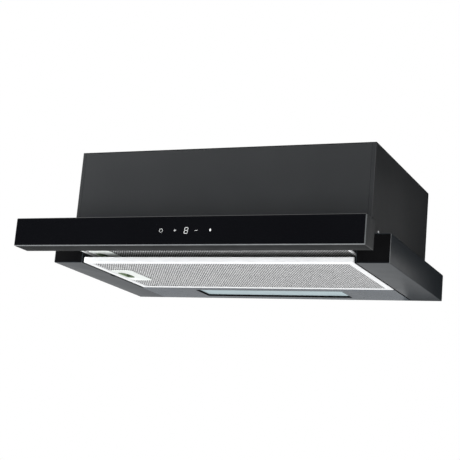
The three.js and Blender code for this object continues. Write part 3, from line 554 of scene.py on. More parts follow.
def bent_line(corners, bend):
    """Points of the sheet's middle and their normals. The sheet lies to the left of the drawn line."""
    line = [Vector(c) for c in corners]
    ways = [(b - a).normalized() for a, b in zip(line, line[1:])]
    lefts = [Vector((-way.y, way.x)) for way in ways]
    half = SHEET / 2
    centre_line = [(line[0] + lefts[0] * half, lefts[0])]
    for at in range(1, len(line) - 1):
        into, out, left = ways[at - 1], ways[at], lefts[at - 1]
        turn = math.atan2(into.x * out.y - into.y * out.x, into.dot(out))
        tip = line[at] + (left + lefts[at]) * (half / (1 + left.dot(lefts[at])))
        back = abs(bend * math.tan(turn / 2))
        hand = 1.0 if turn > 0 else -1.0
        centre = tip - into * back + left * (bend * hand)
        for step in range(BEND_STEPS + 1):
            normal = Matrix.Rotation(turn * step / BEND_STEPS, 2) @ left
            centre_line.append((centre - normal * (bend * hand), normal))
    centre_line.append((line[-1] + lefts[-1] * half, lefts[-1]))
    return centre_line


def folded_sheet(name, corners, run, along, bend):
    """A bent sheet. Its corners are drawn across the run: (y, z) for x, (x, z) for y and (x, y) for z."""
    place = {"x": lambda u, v, r: (r, u, v),
             "y": lambda u, v, r: (u, r, v),
             "z": lambda u, v, r: (u, v, r)}[along]
    centre_line = bent_line(corners, bend)
    points = []
    for r in run:
        for spot, normal in centre_line:
            for way in (-SHEET / 2, SHEET / 2):
                flat = spot + normal * way
                points.append(place(flat.x, flat.y, r))
    count = len(centre_line)
    at = lambda end, i, side: (end * count + i) * 2 + side
    faces = []
    for i in range(count - 1):
        faces += [(at(0, i, s), at(0, i + 1, s), at(1, i + 1, s), at(1, i, s)) for s in (0, 1)]
        faces += [(at(e, i, 0), at(e, i, 1), at(e, i + 1, 1), at(e, i + 1, 0)) for e in (0, 1)]
    for i in (0, count - 1):
        faces.append((at(0, i, 0), at(0, i, 1), at(1, i, 1), at(1, i, 0)))
    return to_mesh(name, points, faces)


print("sheet tool ready for sheet of", SHEET, "mm")

# %% [markdown]
# ## Rings
# Frames, recesses, screws and covers change their outline in steps: each step is one closed ring of points.
# Rounded oblongs and finger holes with the same number of points can be joined ring to ring.
# One tool then makes a rolled frame, a finger recess or a collar, and keeps their faces even.

# %% Tools for rings
CORNER_POINTS = 8


def rounded(u, v, radius, inset=0.0):
    """An outline: an oblong over two (low, high) pairs with rounded corners, inset all round."""
    (u0, u1), (v0, v1) = drawn_in(u, inset), drawn_in(v, inset)
    radius = max(min(radius, (u1 - u0) / 2 - 0.01, (v1 - v0) / 2 - 0.01), 0.02)
    centres = ((u1 - radius, v1 - radius), (u0 + radius, v1 - radius),
               (u0 + radius, v0 + radius), (u1 - radius, v0 + radius))
    outline = []
    for quarter, (centre_u, centre_v) in enumerate(centres):
        for k in range(CORNER_POINTS):
            angle = math.pi / 2 * (quarter + k / (CORNER_POINTS - 1))
            outline.append((centre_u + radius * math.cos(angle), centre_v + radius * math.sin(angle)))
    return outline


def oblong(x, y, radius, z, inset=0.0):
    """A ring on a level: a rounded oblong."""
    return [(a, b, z) for a, b in rounded(x, y, radius, inset)]


def skin(rings, endless=False):
    """Points and faces from ring to ring. Endless skins close on themselves, others get two lids."""
    count = len(rings[0])
    points = [p for ring in rings for p in ring]
    faces = []
    for r in range(len(rings) - (0 if endless else 1)):
        low, high = r * count, ((r + 1) % len(rings)) * count
        faces += [(low + k, low + (k + 1) % count, high + (k + 1) % count, high + k) for k in range(count)]
    if not endless:
        faces.append(tuple(range(count)))
        faces.append(tuple(range(len(points) - count, len(points))))
    return points, faces


def ringed(name, rings, endless=False):
    """A solid whose skin runs from ring to ring."""
    return to_mesh(name, *skin(rings, endless))


def turned(name, outline, centre, facing, facets, endless=True):
    """A solid of revolution: (radius, height) pairs turned about an axis through the centre."""
    turn = {"z": lambda a, b, h: (a, b, h),
            "x": lambda a, b, h: (h, a, b),
            "-x": lambda a, b, h: (-h, -a, b)}[facing]
    rings = []
    for radius, height in outline:
        ring = [turn(radius * math.cos(a), radius * math.sin(a), height) for a in angles(facets)]
        rings.append([tuple(c + d for c, d in zip(centre, point)) for point in ring])
    return ringed(name, rings, endless)


print("ring tools ready,", 4 * CORNER_POINTS, "points to an oblong")

# %% [markdown]
# ## Flat plates and cut-outs
# Signs on the glass and punched panels are flat shapes with holes, which Blender fills best as a 2D curve.
# The curve gets a thickness and a small round, and is then turned into a mesh.
# Slots in a folded sheet are cut with a boolean instead, because there the sheet is already bent.

# %% Tools for plates and cut-outs
BLOCK_FACES = [(0, 1, 3, 2), (4, 6, 7, 5), (0, 4, 5, 1), (2, 3, 7, 6), (0, 2, 6, 4), (1, 5, 7, 3)]


def plate(name, outlines, thickness, place, edge=0.0):
    """A plate from closed outlines (the outer one and its holes). place turns (u, v, w) into x, y and z."""
    drawing = bpy.data.curves.new(name, "CURVE")
    drawing.dimensions = "2D"
    drawing.fill_mode = "BOTH"
    for outline in outlines:
        spline = drawing.splines.new("POLY")
        spline.points.add(len(outline) - 1)
        for point, (u, v) in zip(spline.points, outline):
            point.co = (u * MM, v * MM, 0.0, 1.0)
        spline.use_cyclic_u = True
    drawing.extrude = (thickness / 2 - edge) * MM
    drawing.bevel_depth = edge * MM
    drawing.bevel_resolution = 1
    drawing.offset = -edge * MM
    holder = bpy.data.objects.new(name, drawing)
    mesh = bpy.data.meshes.new_from_object(holder)
    bpy.data.objects.remove(holder)
    bpy.data.curves.remove(drawing)
    points = [place(v.co.x / MM, v.co.y / MM, v.co.z / MM) for v in mesh.vertices]
    faces = [tuple(p.vertices) for p in mesh.polygons]
    bpy.data.meshes.remove(mesh)
    return to_mesh(name, points, faces)


def facing_front(y):
    """Stands a plate upright along x, with the middle of its thickness at y."""
    return lambda u, v, w: (u, y + w, v)


def circle(cx, cy, radius, facets, shift=0.0):
    """A round outline for a plate, or places round a middle."""
    return [(cx + radius * math.cos(a), cy + radius * math.sin(a)) for a in angles(facets, shift)]


def standing(corners, z):
    """Points and faces of a block that stands on four corners and reaches between two levels."""
    return [(x, y, level) for x, y in corners for level in z], BLOCK_FACES


def block(x, y, z):
    """Points and faces of a straight block, for cutters and small bars."""
    return standing([(a, b) for a in x for b in y], z)


def gathered(name, bodies):
    """One mesh from several (points, faces) bodies."""
    points, faces = [], []
    for more_points, more_faces in bodies:
        faces += [tuple(i + len(points) for i in face) for face in more_faces]
        points += more_points
    return to_mesh(name, points, faces)


def cut_out(mesh, cutters):
    """The mesh without the space of the cutters' blocks."""
    name = mesh.name
    target = placed("to_cut", mesh)
    cutter = placed("cutter", gathered("cutter", cutters))
    cut = target.modifiers.new("cut", "BOOLEAN")
    cut.operation = "DIFFERENCE"
    cut.solver = "EXACT"
    cut.object = cutter
    bpy.context.view_layer.update()
    result = bpy.data.meshes.new_from_object(target.evaluated_get(bpy.context.evaluated_depsgraph_get()))
    for o in (target, cutter):
        used = o.data
        bpy.data.objects.remove(o)
        bpy.data.meshes.remove(used)
    result.name = name
    result.materials.clear()
    return result


print("plate and cutting tools ready")

# %% [markdown]
# ## Glass front
# The visor's front is one slab of glass over the whole width, with the ground bevel all round.
# Its bevel needs a second finish, so the slab is built from rings. The bevel at the ends and the lower edge
# gets the pale one, partly a painted highlight, and the top bevel stays black glass.
# It stays 0.15 mm behind the CAD face, which leaves room for the printed signs.

# %% Glass slab
PRINT_ROOM = 0.15
BEVEL = 1.0
GLASS_CORNER = 1.6
glass_x, (glass_front, glass_rear), glass_z = span("visor_glass")
glass_face = glass_front + PRINT_ROOM


def upright_ring(inset, y):
    """A ring in the plane of the glass, a little inside its outline."""
    return [(x, y, z) for x, z in rounded(glass_x, glass_z, GLASS_CORNER - inset / 2, inset)]


glass_steps = [(BEVEL * 0.95, glass_face), (0.25, glass_face + 0.75), (0, glass_face + BEVEL),
               (0, glass_rear - 0.4), (0.4, glass_rear)]
glass_mesh = ringed("glass_front", [upright_ring(inset, y) for inset, y in glass_steps])
# Faces that are not front, back or facing up get the pale bevel finish, partly as a painted highlight.
two_finishes(glass_mesh, "black_glass", "ground_edge_and_highlight",
             lambda face: abs(face.normal.y) <= 0.98 and face.normal.z <= 0.2)
fit(glass_mesh, "black_glass", "drawer", ["visor_glass"])
print("glass", round(glass_x[1] - glass_x[0]), "by", round(glass_z[1] - glass_z[0]), "mm")

# %% [markdown]
# ## Signs on the glass
# The touch controls are printed in white: a ring, a plus, a figure of seven bars, a minus and a lamp.
# Text would need a typeface and a picture would need an image, and neither is wanted here.
# Each sign is drawn from its own outline and lies on the glass as a very thin plate.

# %% Outlines of the signs
SIGN_LEVEL = 24.0
RING_AT, PLUS_AT, FIGURE_AT, MINUS_AT, LAMP_AT = -31.9, -7.8, 11.4, 28.5, 52.2
RING_RADII = (3.0, 2.5)
STROKE, PLUS_LENGTH, MINUS_LENGTH = 0.6, 4.2, 4.6
FIGURE_WIDTH, FIGURE_HEIGHT, FIGURE_STROKE, FIGURE_LEAN = 6.2, 10.2, 0.8, 0.12
BAR_GAP = 0.35  # what each bar of the figure leaves free at its ends
PRINT_THICKNESS = 0.14


def bar(cx, cz, length, width, angle=0.0, point=0.0):
    """A straight bar, or a bar with pointed ends, as used in seven-bar figures."""
    half, wide = length / 2, width / 2
    raw = [(-half, -wide), (half, -wide), (half, wide), (-half, wide)]
    if point:
        raw = [(-half, 0), (-half + point, -wide), (half - point, -wide),
               (half, 0), (half - point, wide), (-half + point, wide)]
    c, s = math.cos(angle), math.sin(angle)
    return [(cx + u * c - v * s, cz + u * s + v * c) for u, v in raw]


def figure_eight(cx, cz, width, height, stroke, lean):
    """Seven bars that lean a little to the right."""
    half_w, half_h = (width - stroke) / 2, (height - stroke) / 2
    bars = [bar(0, z, 2 * (half_w - BAR_GAP), stroke, 0.0, stroke / 2) for z in (-half_h, 0, half_h)]
    bars += [bar(x, z, half_h - BAR_GAP, stroke, math.pi / 2, stroke / 2)
             for x in (-half_w, half_w) for z in (-half_h / 2, half_h / 2)]
    return [[(cx + u + v * lean, cz + v) for u, v in b] for b in bars]


print("signs at", (RING_AT, PLUS_AT, FIGURE_AT, MINUS_AT, LAMP_AT), "mm from the middle")

# %% [markdown]
# The lamp sign is a drop with a short bar over it. Its curve is a circle pulled a little out of true.

# %% Printed signs
lamp_drop = [(LAMP_AT + 1.5 * math.sin(a) * (1 - 0.12 * math.cos(a)), SIGN_LEVEL - 0.1 - 1.9 * math.cos(a))
             for a in angles(40)]
signs = {
    "ring_sign": [circle(RING_AT, SIGN_LEVEL, radius, 40) for radius in RING_RADII],
    "plus_sign": [bar(PLUS_AT, SIGN_LEVEL, PLUS_LENGTH, STROKE)]
                 + [bar(PLUS_AT, SIGN_LEVEL + up, 1.5, STROKE, math.pi / 2) for up in (1.05, -1.05)],
    "figure_sign": figure_eight(FIGURE_AT, SIGN_LEVEL - 0.3, FIGURE_WIDTH, FIGURE_HEIGHT,
                                FIGURE_STROKE, FIGURE_LEAN),
    "minus_sign": [bar(MINUS_AT, SIGN_LEVEL - 0.3, MINUS_LENGTH, STROKE)],
    "lamp_sign": [lamp_drop, bar(LAMP_AT, SIGN_LEVEL + 2.4, 1.4, 0.5)],
}
for name, outlines in signs.items():
    flat = plate(name, outlines, PRINT_THICKNESS, facing_front(glass_face - PRINT_THICKNESS / 2))
    fit(flat, "white_print", "drawer")
print("signs:", ", ".join(signs))

# %% [markdown]
# ## Shell and ends of the visor
# Behind the glass the drawer's front is a shallow channel of black sheet, open towards the glass.
# Its bends catch a thin highlight under the hood, so it is folded rather than cut from a block.
# Two black caps close its ends and lie flush with the glass.

# %% Visor shell and caps
TRAY_LIP, TRAY_BEND = 6.0, 1.1
CAP_CORNER, CAP_EDGE = 1.6, 0.35
shell_x, (shell_front, shell_rear), (shell_low, shell_high) = span("visor_shell")
shell_line = [(shell_front, shell_low + TRAY_LIP), (shell_front, shell_low), (shell_rear, shell_low),
              (shell_rear, shell_high), (shell_front, shell_high), (shell_front, shell_high - TRAY_LIP)]
shell = folded_sheet("visor_tray", shell_line, shell_x, "x", TRAY_BEND)
# The tray takes the darker copy of the coat, as painted shade under the visor.
fit(shell, "visor_coat_painted_shade", "drawer", ["visor_shell"])
for side in ("left", "right"):
    cap_x, cap_y, cap_z = span(side + "_visor_cap")
    cap = plate(side + "_end_cap", [rounded(cap_y, cap_z, CAP_CORNER)], cap_x[1] - cap_x[0],
                lambda u, v, w: (middle(cap_x) + w, u, v), CAP_EDGE)
    fit(cap, "black_coat", "drawer", [side + "_visor_cap"])
print("visor depth", round(shell_rear - glass_front), "mm")

# %% [markdown]
# ## Side rails
# Each rail is a wide channel of coated sheet that runs from front to back under the cabinet.
# It is drawn in section, from the edge beside the filter, across the underside and up the outside.
# The left one is notched for the filter's latch, and the right one has two slots for its hooks.
# A near-black strip stands inside each, beside the filter, as painted shade that draws the dark line of the
# gap there.

# %% Rails
FILTER_LINE = 1.4  # how much wider than in the CAD the dark line beside the filter is
HOOK_INSET, HOOK_HALF = 50.0, 6.0  # a hook's middle from the filter's corner, and half its width
BACK_ROOM = 2.2  # what the rails leave free for the back panel
RAIL_BEND = 1.3
PLUG_THICKNESS, PLUG_INSET, PLUG_DEPTH = 1.6, 1.1, 1.1  # the plugs in the rails' front ends
GAP_SHADE_LEVELS = (0.1, 9.0)
NOTCH_TOP, HOOK_SLOT = 6.7, (1.1, 5.1)  # levels that the latch's notch and the hooks' slots reach
seat_edge = span("base_top_plate")[0][1] + 0.5
strip_front = span("rear_strip")[1][0]
fixed_latch_y = span("fixed_filter_latch")[1]
fixed_frame_y = span("fixed_filter_frame")[1]
for side, hand in SIDES:
    rail_x, (front, back), (low, high) = span(side + "_rail")
    outer = rail_x[0] if hand < 0 else rail_x[1]
    inner = rail_x[1] - FILTER_LINE if hand < 0 else rail_x[0] + FILTER_LINE
    section = [(inner, high - 2), (inner, low), (outer, low), (outer, high), (hand * seat_edge, high)]
    rail = folded_sheet(side + "_side_rail", section[::hand], (front, back - BACK_ROOM), "y", RAIL_BEND)
    if side == "left":
        cutters = [block((inner - 3, inner + 1), drawn_in(fixed_latch_y, 6), (-1, NOTCH_TOP))]
    else:
        cutters = [block((inner - 1, inner + 3), around(y, HOOK_HALF + 1), HOOK_SLOT)
                   for y in drawn_in(fixed_frame_y, HOOK_INSET)]
    rail = cut_out(rail, cutters)
    # The rails' cut front edges take the pale finish, as a painted highlight.
    two_finishes(rail, "rail_coat_blue_reflection", "rail_edge_painted_highlight",
                 lambda face: face.normal.y < -0.9 and face.center.y / MM < front + 0.1
                 and abs(face.center.x / MM) > abs(outer) - 1.2)
    # The rail's bluish coat is partly painted reflection.
    fit(rail, "rail_coat_blue_reflection", "housing", [side + "_rail"])
    # The plug's near-black is painted shade: the visor in front shades the rails' front ends.
    plug_outline = rounded(sorted((inner, outer)), (low, high), 0.8, PLUG_INSET)
    plug = plate(side + "_rail_end", [plug_outline], PLUG_THICKNESS, facing_front(front + PLUG_DEPTH), 0.3)
    fit(plug, "black_and_painted_shade")
    # The strip in the gap is near-black, as painted shade.
    gap_shade_x = sorted((inner, inner - hand * (FILTER_LINE + 0.9)))
    gap_shade = gathered(side + "_felt", [block(gap_shade_x, (front + 2.5, strip_front - 0.4), GAP_SHADE_LEVELS)])
    fit(gap_shade, "black_and_painted_shade", edge=0.3)
print("rails:", round(back - front), "mm long,", round(abs(outer - inner)), "mm wide")

# %% [markdown]
# ## Rear strip and lamp
# Behind the filter a strip closes the underside, with a turned-up lip towards the filter.
# The lamp sits in a recess with dark sides, pressed into the strip, and shines through a pale cover.
# The strip is folded and then cut, and the recess is an endless ring round the opening.

# %% Rear strip, recess and lamp cover
STRIP_BEND = 1.1
LEDGE = 4.0  # how far the lamp's cover reaches past the opening
strip_x, (_, strip_back), (strip_low, strip_high) = span("rear_strip")
cover_x, cover_y, (cover_low, cover_high) = span("lamp_diffuser")
opening_x, opening_y = drawn_in(cover_x, LEDGE), drawn_in(cover_y, LEDGE)
strip_line = [(strip_front, strip_high), (strip_front, strip_low), (strip_back, strip_low)]
strip_run = (strip_x[0] - FILTER_LINE - 0.2, strip_x[1] - 0.5)
strip = folded_sheet("rear_cover", strip_line, strip_run, "x", STRIP_BEND)
strip = cut_out(strip, [block(opening_x, opening_y, (-2, 2))])
# The strip takes the lighter copy of the coat, as painted light.
fit(strip, "strip_coat_painted_light", "housing", ["rear_strip"])
recess_top = cover_low - 0.2
recess_steps = [(0.0, 0.0), (-0.25, 0.3), (-0.25, recess_top - 0.5), (0.4, recess_top), (1.2, recess_top),
                (1.0, 1.1), (0.9, 0.0)]
recess_rings = [oblong(opening_x, opening_y, 1.5, z, -grow) for grow, z in recess_steps]
# The recess's near-black sides are partly black and partly painted shade.
fit(ringed("lamp_recess", recess_rings, endless=True), "black_and_painted_shade")
cover_steps = [(0, 2.0, cover_high), (0, 2.0, cover_low + 0.2), (LEDGE, 1.4, cover_low),
               (LEDGE + 1, 1.2, cover_low - 0.5), (LEDGE + 4, 1.0, cover_low - 0.7)]
cover_rings = [oblong(cover_x, cover_y, radius, z, inset) for inset, radius, z in cover_steps]
fit(ringed("lamp_cover", cover_rings), "opal_cover", "housing", ["lamp_diffuser"])
print("lamp opening", round(opening_x[1] - opening_x[0]), "by", round(opening_y[1] - opening_y[0]), "mm")

# %% [markdown]
# ## Punched sheet
# A grease filter is faced with aluminium sheet, punched with staggered round holes.
# The holes could be painted on, but at this angle one looks into them, and the mesh inside shows through.
# So each hole is six corners, neighbours are joined by narrow webs, and a modifier gives the thickness.
# The stripes in the photograph give holes 4.0 mm apart in rows 3.4 mm apart. They are drawn a little
# further apart, because a small picture blurs the true spacing to an even grey.

# %% Webs of the punched sheet
HOLE_ACROSS = 3.7
HOLE_STEP, ROW_STEP = 4.35, 3.7
PUNCHED_THICKNESS = 0.16
PLAIN_RIM = 5.5
FIELD_MARGIN = 1.5  # how far inside the field a hole's middle has to lie


def within(at, limits, margin):
    """Whether a place lies between two limits, by at least a margin."""
    return limits[0] + margin < at < limits[1] - margin


def web_faces(first, column, row):
    """The webs from a hole to its neighbours on the right and above. first has each hole's first corner."""
    here, beside = first[column, row], first.get((column + 1, row))
    above_right = first.get((column + row % 2, row + 1))
    above_left = first.get((column + row % 2 - 1, row + 1))
    faces = []
    if beside is not None:
        faces.append((here + 5, beside + 3, beside + 2, here))
    if above_right is not None:
        faces.append((here, above_right + 4, above_right + 3, here + 1))
    if above_left is not None:
        faces.append((here + 1, above_left + 5, above_left + 4, here + 2))
    if beside is not None and above_right is not None:
        faces.append((here, beside + 2, above_right + 4))
    if above_left is not None and above_right is not None:
        faces.append((here + 1, above_right + 3, above_left + 5))
    return faces


print("holes", HOLE_ACROSS, "mm across,", HOLE_STEP, "mm apart in a row,", ROW_STEP, "mm from row to row")

# %% [markdown]
# The field of holes is laid a little too large, and holes outside it are filled, so that they leave a
# plain rim. Four straight cuts then trim the rim. Where the grip's pocket is, no webs are laid at all.

# %% Whole punched sheet
def punched_sheet(name, x, y, z, clear_x, clear_y):
    """A sheet of holes over x and y, with a plain rim round it and a plain edge round the clear oblong."""
    columns, rows = round((x[1] - x[0]) / HOLE_STEP), round((y[1] - y[0]) / ROW_STEP)
    step_x, step_y = (x[1] - x[0]) / columns, (y[1] - y[0]) / rows
    corners = circle(0, 0, HOLE_ACROSS / 2, 6, 0.5)
    points, faces, first = [], [], {}
    for row in range(-2, rows + 2):
        for column in range(-2, columns + 2):
            cx, cy = x[0] + (column + 0.5 + 0.5 * (row % 2)) * step_x, y[0] + (row + 0.5) * step_y
            if within(cx, clear_x, HOLE_STEP) and within(cy, clear_y, HOLE_STEP):
                continue
            here = first[column, row] = len(points)
            points += [(cx + u, cy + v, z) for u, v in corners]
            in_field = within(cx, x, FIELD_MARGIN) and within(cy, y, FIELD_MARGIN)
            if not in_field or (within(cx, clear_x, 0) and within(cy, clear_y, 0)):
                faces.append(tuple(range(here, here + 6)))
    holes = len(first) - len(faces)
    for column, row in first:
        faces += web_faces(first, column, row)
    mesh = bpy.data.meshes.new(name)
    mesh.from_pydata([(px * MM, py * MM, pz * MM) for px, py, pz in points], [], faces)
    trimmed = bmesh.new()
    trimmed.from_mesh(mesh)
    for place, outwards in (((x[0] - PLAIN_RIM, 0, 0), (-1, 0, 0)), ((x[1] + PLAIN_RIM, 0, 0), (1, 0, 0)),
                            ((0, y[0] - PLAIN_RIM, 0), (0, -1, 0)), ((0, y[1] + PLAIN_RIM, 0), (0, 1, 0))):
        everything = trimmed.verts[:] + trimmed.edges[:] + trimmed.faces[:]
        bmesh.ops.bisect_plane(trimmed, geom=everything, dist=1e-7, plane_co=Vector(place) * MM,
                               plane_no=Vector(outwards), clear_outer=True)
    trimmed.to_mesh(mesh)
    trimmed.free()
    print(name, "has", holes, "holes")
    return mesh


print("punched sheet", PUNCHED_THICKNESS, "mm thick, plain rim", PLAIN_RIM, "mm")

# %% [markdown]
# ## Grease filters
# The hood has two filters of one kind: one fixed in the base and one that travels with the drawer.
# Each is a rolled frame round a punched sheet and a crimped core, with a grip plate and a sprung latch.
# One recipe makes both from the boxes of their CAD nodes, so they differ only where those do.

# %% Rolled frame
FRAME_SKIN = 0.8
FRAME_ROUND = ((1.6, 0.0), (0.75, 0.22), (0.22, 0.75), (0.0, 1.6))  # inset and height on the outer edge
HEM = 0.35


def filter_frame(name, x, y, z, border, hook_reach):
    """A frame rolled from one strip: a wall with a lip below and above, hemmed at the lips' inner edges."""
    z0, z1 = z
    profile = [(border, z0 + 0.4), (border - HEM, z0)]
    profile += [(inset, z0 + height) for inset, height in FRAME_ROUND]
    profile += [(inset, z1 - height) for inset, height in reversed(FRAME_ROUND)]
    profile += [(border - HEM, z1), (border, z1 - 0.4), (border - HEM, z1 - FRAME_SKIN),
                (2.0, z1 - FRAME_SKIN), (FRAME_SKIN, z1 - 2.0), (FRAME_SKIN, z0 + 2.0),
                (2.0, z0 + FRAME_SKIN), (border - HEM, z0 + FRAME_SKIN)]
    rings = [oblong(x, y, 3.2 - min(inset, 2.6), level, inset) for inset, level in profile]
    hooks = [block((x[1] - 1.0, hook_reach), around(at, HOOK_HALF), (z0 + 0.8, z0 + 2.0))
             for at in drawn_in(y, HOOK_INSET)]
    return gathered(name, [skin(rings, endless=True), *hooks])


print("frame recipe ready, skin", FRAME_SKIN, "mm")

# %% [markdown]
# The grip is a milky plate with a pocket for the fingertips, which goes up into the filter.
# The latch lies in that pocket: a floor, a ribbed wall to pull at, and a bolt that goes through the frame.

# %% Grip and latch
POCKET_HALF_X, POCKET_HALF_Y = 10.6, 24.6
POCKET_AT = 11.3  # the pocket's middle from the grip's left edge
GRIP_ROUND = 8.0
LATCH_FLOOR_HALF, LATCH_BOLT_HALF, LATCH_RIB_STEP = 12.0, 7.0, 5.5


def finger_hole(cx, cy, half_x, half_y, z):
    """A ring that is half an oval on its right and nearly straight on its left, where the latch lies."""
    ring = []
    for angle in angles(4 * CORNER_POINTS, 0.5):
        across = math.cos(angle)
        across = across if across > 0 else -abs(across) ** 0.4
        ring.append((cx + half_x * across, cy + half_y * math.sin(angle), z))
    return ring


def grip_plate(name, x, y, z0, roof):
    """A grip plate with a finger recess that goes up into the filter, whose inside is painted darker as
    shade.
    """
    cx, cy = x[0] + POCKET_AT, middle(y)
    pocket = lambda inset, z: finger_hole(cx, cy, POCKET_HALF_X - inset, POCKET_HALF_Y - inset, z)
    outside = [pocket(0, roof), pocket(0, z0 + 0.8), oblong(x, y, GRIP_ROUND, z0 + 0.8, 0.1),
               oblong(x, y, GRIP_ROUND, z0 + 0.35), oblong(x, y, GRIP_ROUND - 0.3, z0, 0.35)]
    inside = [pocket(0.3, z0), pocket(0.9, z0 + 0.3), pocket(1.0, z0 + 0.9), pocket(1.0, roof - 0.6)]
    made = ringed(name, outside + inside)

    def lines_pocket(face):
        """Whether a face is one of the pocket's walls or its roof, seen from below."""
        level = face.center.z / MM
        inwards = face.normal.dot(Vector((cx * MM, cy * MM, face.center.z)) - face.center) > 0
        roof_face = face.normal.z < -0.9 and level > z0 + 1
        return (inwards or roof_face) and level > z0 + 0.85

    two_finishes(made, "milky_plastic", "pocket_painted_shade_green", lines_pocket)
    return made


def sprung_latch(name, x, y, z0, roof):
    """A slider with a floor across the finger recess, a ribbed grip and a bolt through the frame."""
    cy, tab = middle(y), x[1] - 2.6
    floor_plate = block((tab, tab + 9.0), around(cy, LATCH_FLOOR_HALF), (roof - 1.9, roof - 0.9))
    wall = block((tab, tab + 1.6), y, (z0 - 0.5, roof - 1.5))
    bolt = block((x[0], tab + 1.0), around(cy, LATCH_BOLT_HALF), (z0 + 0.7, z0 + 3.7))
    ribs = [block((tab + 1.4, tab + 2.2), around(cy + LATCH_RIB_STEP * k, 0.8), (z0 - 0.4, roof - 1.8))
            for k in (-2, -1, 0, 1, 2)]
    return gathered(name, [floor_plate, wall, bolt, *ribs])


print("pocket", 2 * POCKET_HALF_X, "by", 2 * POCKET_HALF_Y, "mm")

# %% [markdown]
# The recipe runs twice. The punched sheet leaves room for the grip's pocket, the grip hides the edge of
# that room, and the latch lies inside the pocket, where a fingertip pulls it sideways.
# The fixed filter's bolt is a little longer, because it has to cross the dark line to reach the rail.

# %% Both filters
HIDDEN_EDGE, OPEN_LEFT = 3.5, 5.0  # what the grip hides of the sheet's edge, and the room on its left
filters = (("fixed", "fixed_filter", "fixed_latch", 11.5, FILTER_LINE),
           ("drawer", "drawer", "drawer_latch", 4.5, 0.0))
for prefix, body, latch_body, border, longer_bolt in filters:
    frame_x, frame_y, frame_z = span(prefix + "_filter_frame")
    grip_x, grip_y, (grip_low, roof) = span(prefix + "_filter_handle")
    latch_x, latch_y, (latch_low, _) = span(prefix + "_filter_latch")
    (_, sheet_right), _, (sheet_low, _) = span(prefix + "_filter_mesh")
    rolled_x = (frame_x[0], sheet_right + 1.1)
    rolled = filter_frame(prefix + "_frame", rolled_x, frame_y, frame_z, border, frame_x[1])
    fit(rolled, "frame_aluminium", body, [prefix + "_filter_frame"])
    field_x, field_y = drawn_in(rolled_x, border + 0.3), drawn_in(frame_y, border + 0.3)
    clear_x = (grip_x[0] - OPEN_LEFT, grip_x[1] - HIDDEN_EDGE)
    clear_y = drawn_in(grip_y, HIDDEN_EDGE)
    punched = punched_sheet(prefix + "_punched_sheet", field_x, field_y, sheet_low, clear_x, clear_y)
    sheet = fit(punched, "sheet_aluminium", body, [prefix + "_filter_mesh"])
    # The hole walls take the dark finish, as painted shade.
    sheet.data.materials.append(finishes["hole_wall_painted_shade"][0])
    thick = sheet.modifiers.new("sheet_thickness", "SOLIDIFY")
    thick.thickness = PUNCHED_THICKNESS * MM
    thick.offset = 1.0
    thick.material_offset_rim = 1
    grip = grip_plate(prefix + "_grip", grip_x, grip_y, grip_low, roof)
    fit(grip, "milky_plastic", body, [prefix + "_filter_handle"])
    bolt_x = (latch_x[0] - longer_bolt, latch_x[1])
    latch = sprung_latch(prefix + "_latch", bolt_x, latch_y, latch_low, roof)
    fit(latch, "green_plastic", latch_body, [prefix + "_filter_latch"], edge=0.3)
print("filters: 2")

# %% [markdown]
# ## Motor box
# The box on top is screwed together from folded panels, and its seams are thin dark lines in the picture.
# The sides wrap 7 mm round the front, and the front panel lies between them.
# Each panel is folded or punched on its own, so real gaps draw those lines.

# %% Box panels
PANEL_LIP = 8.0
PANEL_BEND = 1.0
AIR_BORE = 72.0
GLAND_HOLE = 8.4


def lipped_panel(name, node, hand):
    """The front (hand -1) or the back (hand 1) of the box: a wall with a lip at its foot and its top."""
    x, y, (z0, z1) = span(node)
    wall = y[0] if hand < 0 else y[1]
    section = [(wall - hand * PANEL_LIP, z0), (wall, z0), (wall, z1), (wall - hand * PANEL_LIP, z1)]
    fit(folded_sheet(name, section[::hand], x, "x", PANEL_BEND), "black_coat", "housing", [node])


lipped_panel("box_front", "box_front_panel", -1)
for side, hand in SIDES:
    side_x, (side_front, side_back), side_z = span(f"box_{side}_side")
    outer, inner = side_x if hand < 0 else side_x[::-1]
    section = [(inner, side_front), (outer, side_front), (outer, side_back - SHEET)]
    wall = folded_sheet(f"box_{side}", section[::hand], side_z, "z", PANEL_BEND)
    fit(wall, "black_coat", "housing", [f"box_{side}_side"])
lipped_panel("box_rear", "box_back_panel", 1)
lid_x, lid_y, lid_z = span("box_top_panel")
collar_x, collar_y, (_, collar_top) = span("outlet_collar")
gland_x, gland_y, (gland_low, gland_top) = span("cable_gland")
collar_at = (middle(collar_x), middle(collar_y))
gland_at = (middle(gland_x), middle(gland_y))
lid_holes = [circle(*collar_at, AIR_BORE, 64), circle(*gland_at, GLAND_HOLE, 32)]
lid_outlines = [rounded(lid_x, lid_y, 1.5), *lid_holes]
lid = plate("box_top", lid_outlines, lid_z[1] - lid_z[0], lambda u, v, w: (u, v, middle(lid_z) + w), 0.3)
fit(lid, "black_coat", "housing", ["box_top_panel"])
print("box:", round(lid_x[1] - lid_x[0]), "mm wide,", round(lid_y[1] - lid_y[0]), "mm deep")

# %% [markdown]
# ## Side screws
# A screw shows in the photograph, low down near the front of the side, where it glints against the black.
# A pan head is a flattened dome with a cross recess, so it is turned first and then cut twice.
# The same screw is used again at the back corners, where the base plate has its other lugs.

# %% Screws
DOME = ((0.35, 0.98), (0.7, 0.82), (0.92, 0.5), (1, 0.15), (0.98, 0))  # of the head's radius and height
SHANK = 1.9
CROSS_LENGTH, CROSS_WIDTH, CROSS_DEPTH = 3.8, 0.9, 1.1
SIDE_HEAD, SIDE_HEAD_HEIGHT = 2.7, 2.2
REAR_LUG = 34.0  # from the box's back to the screws of its rear lugs


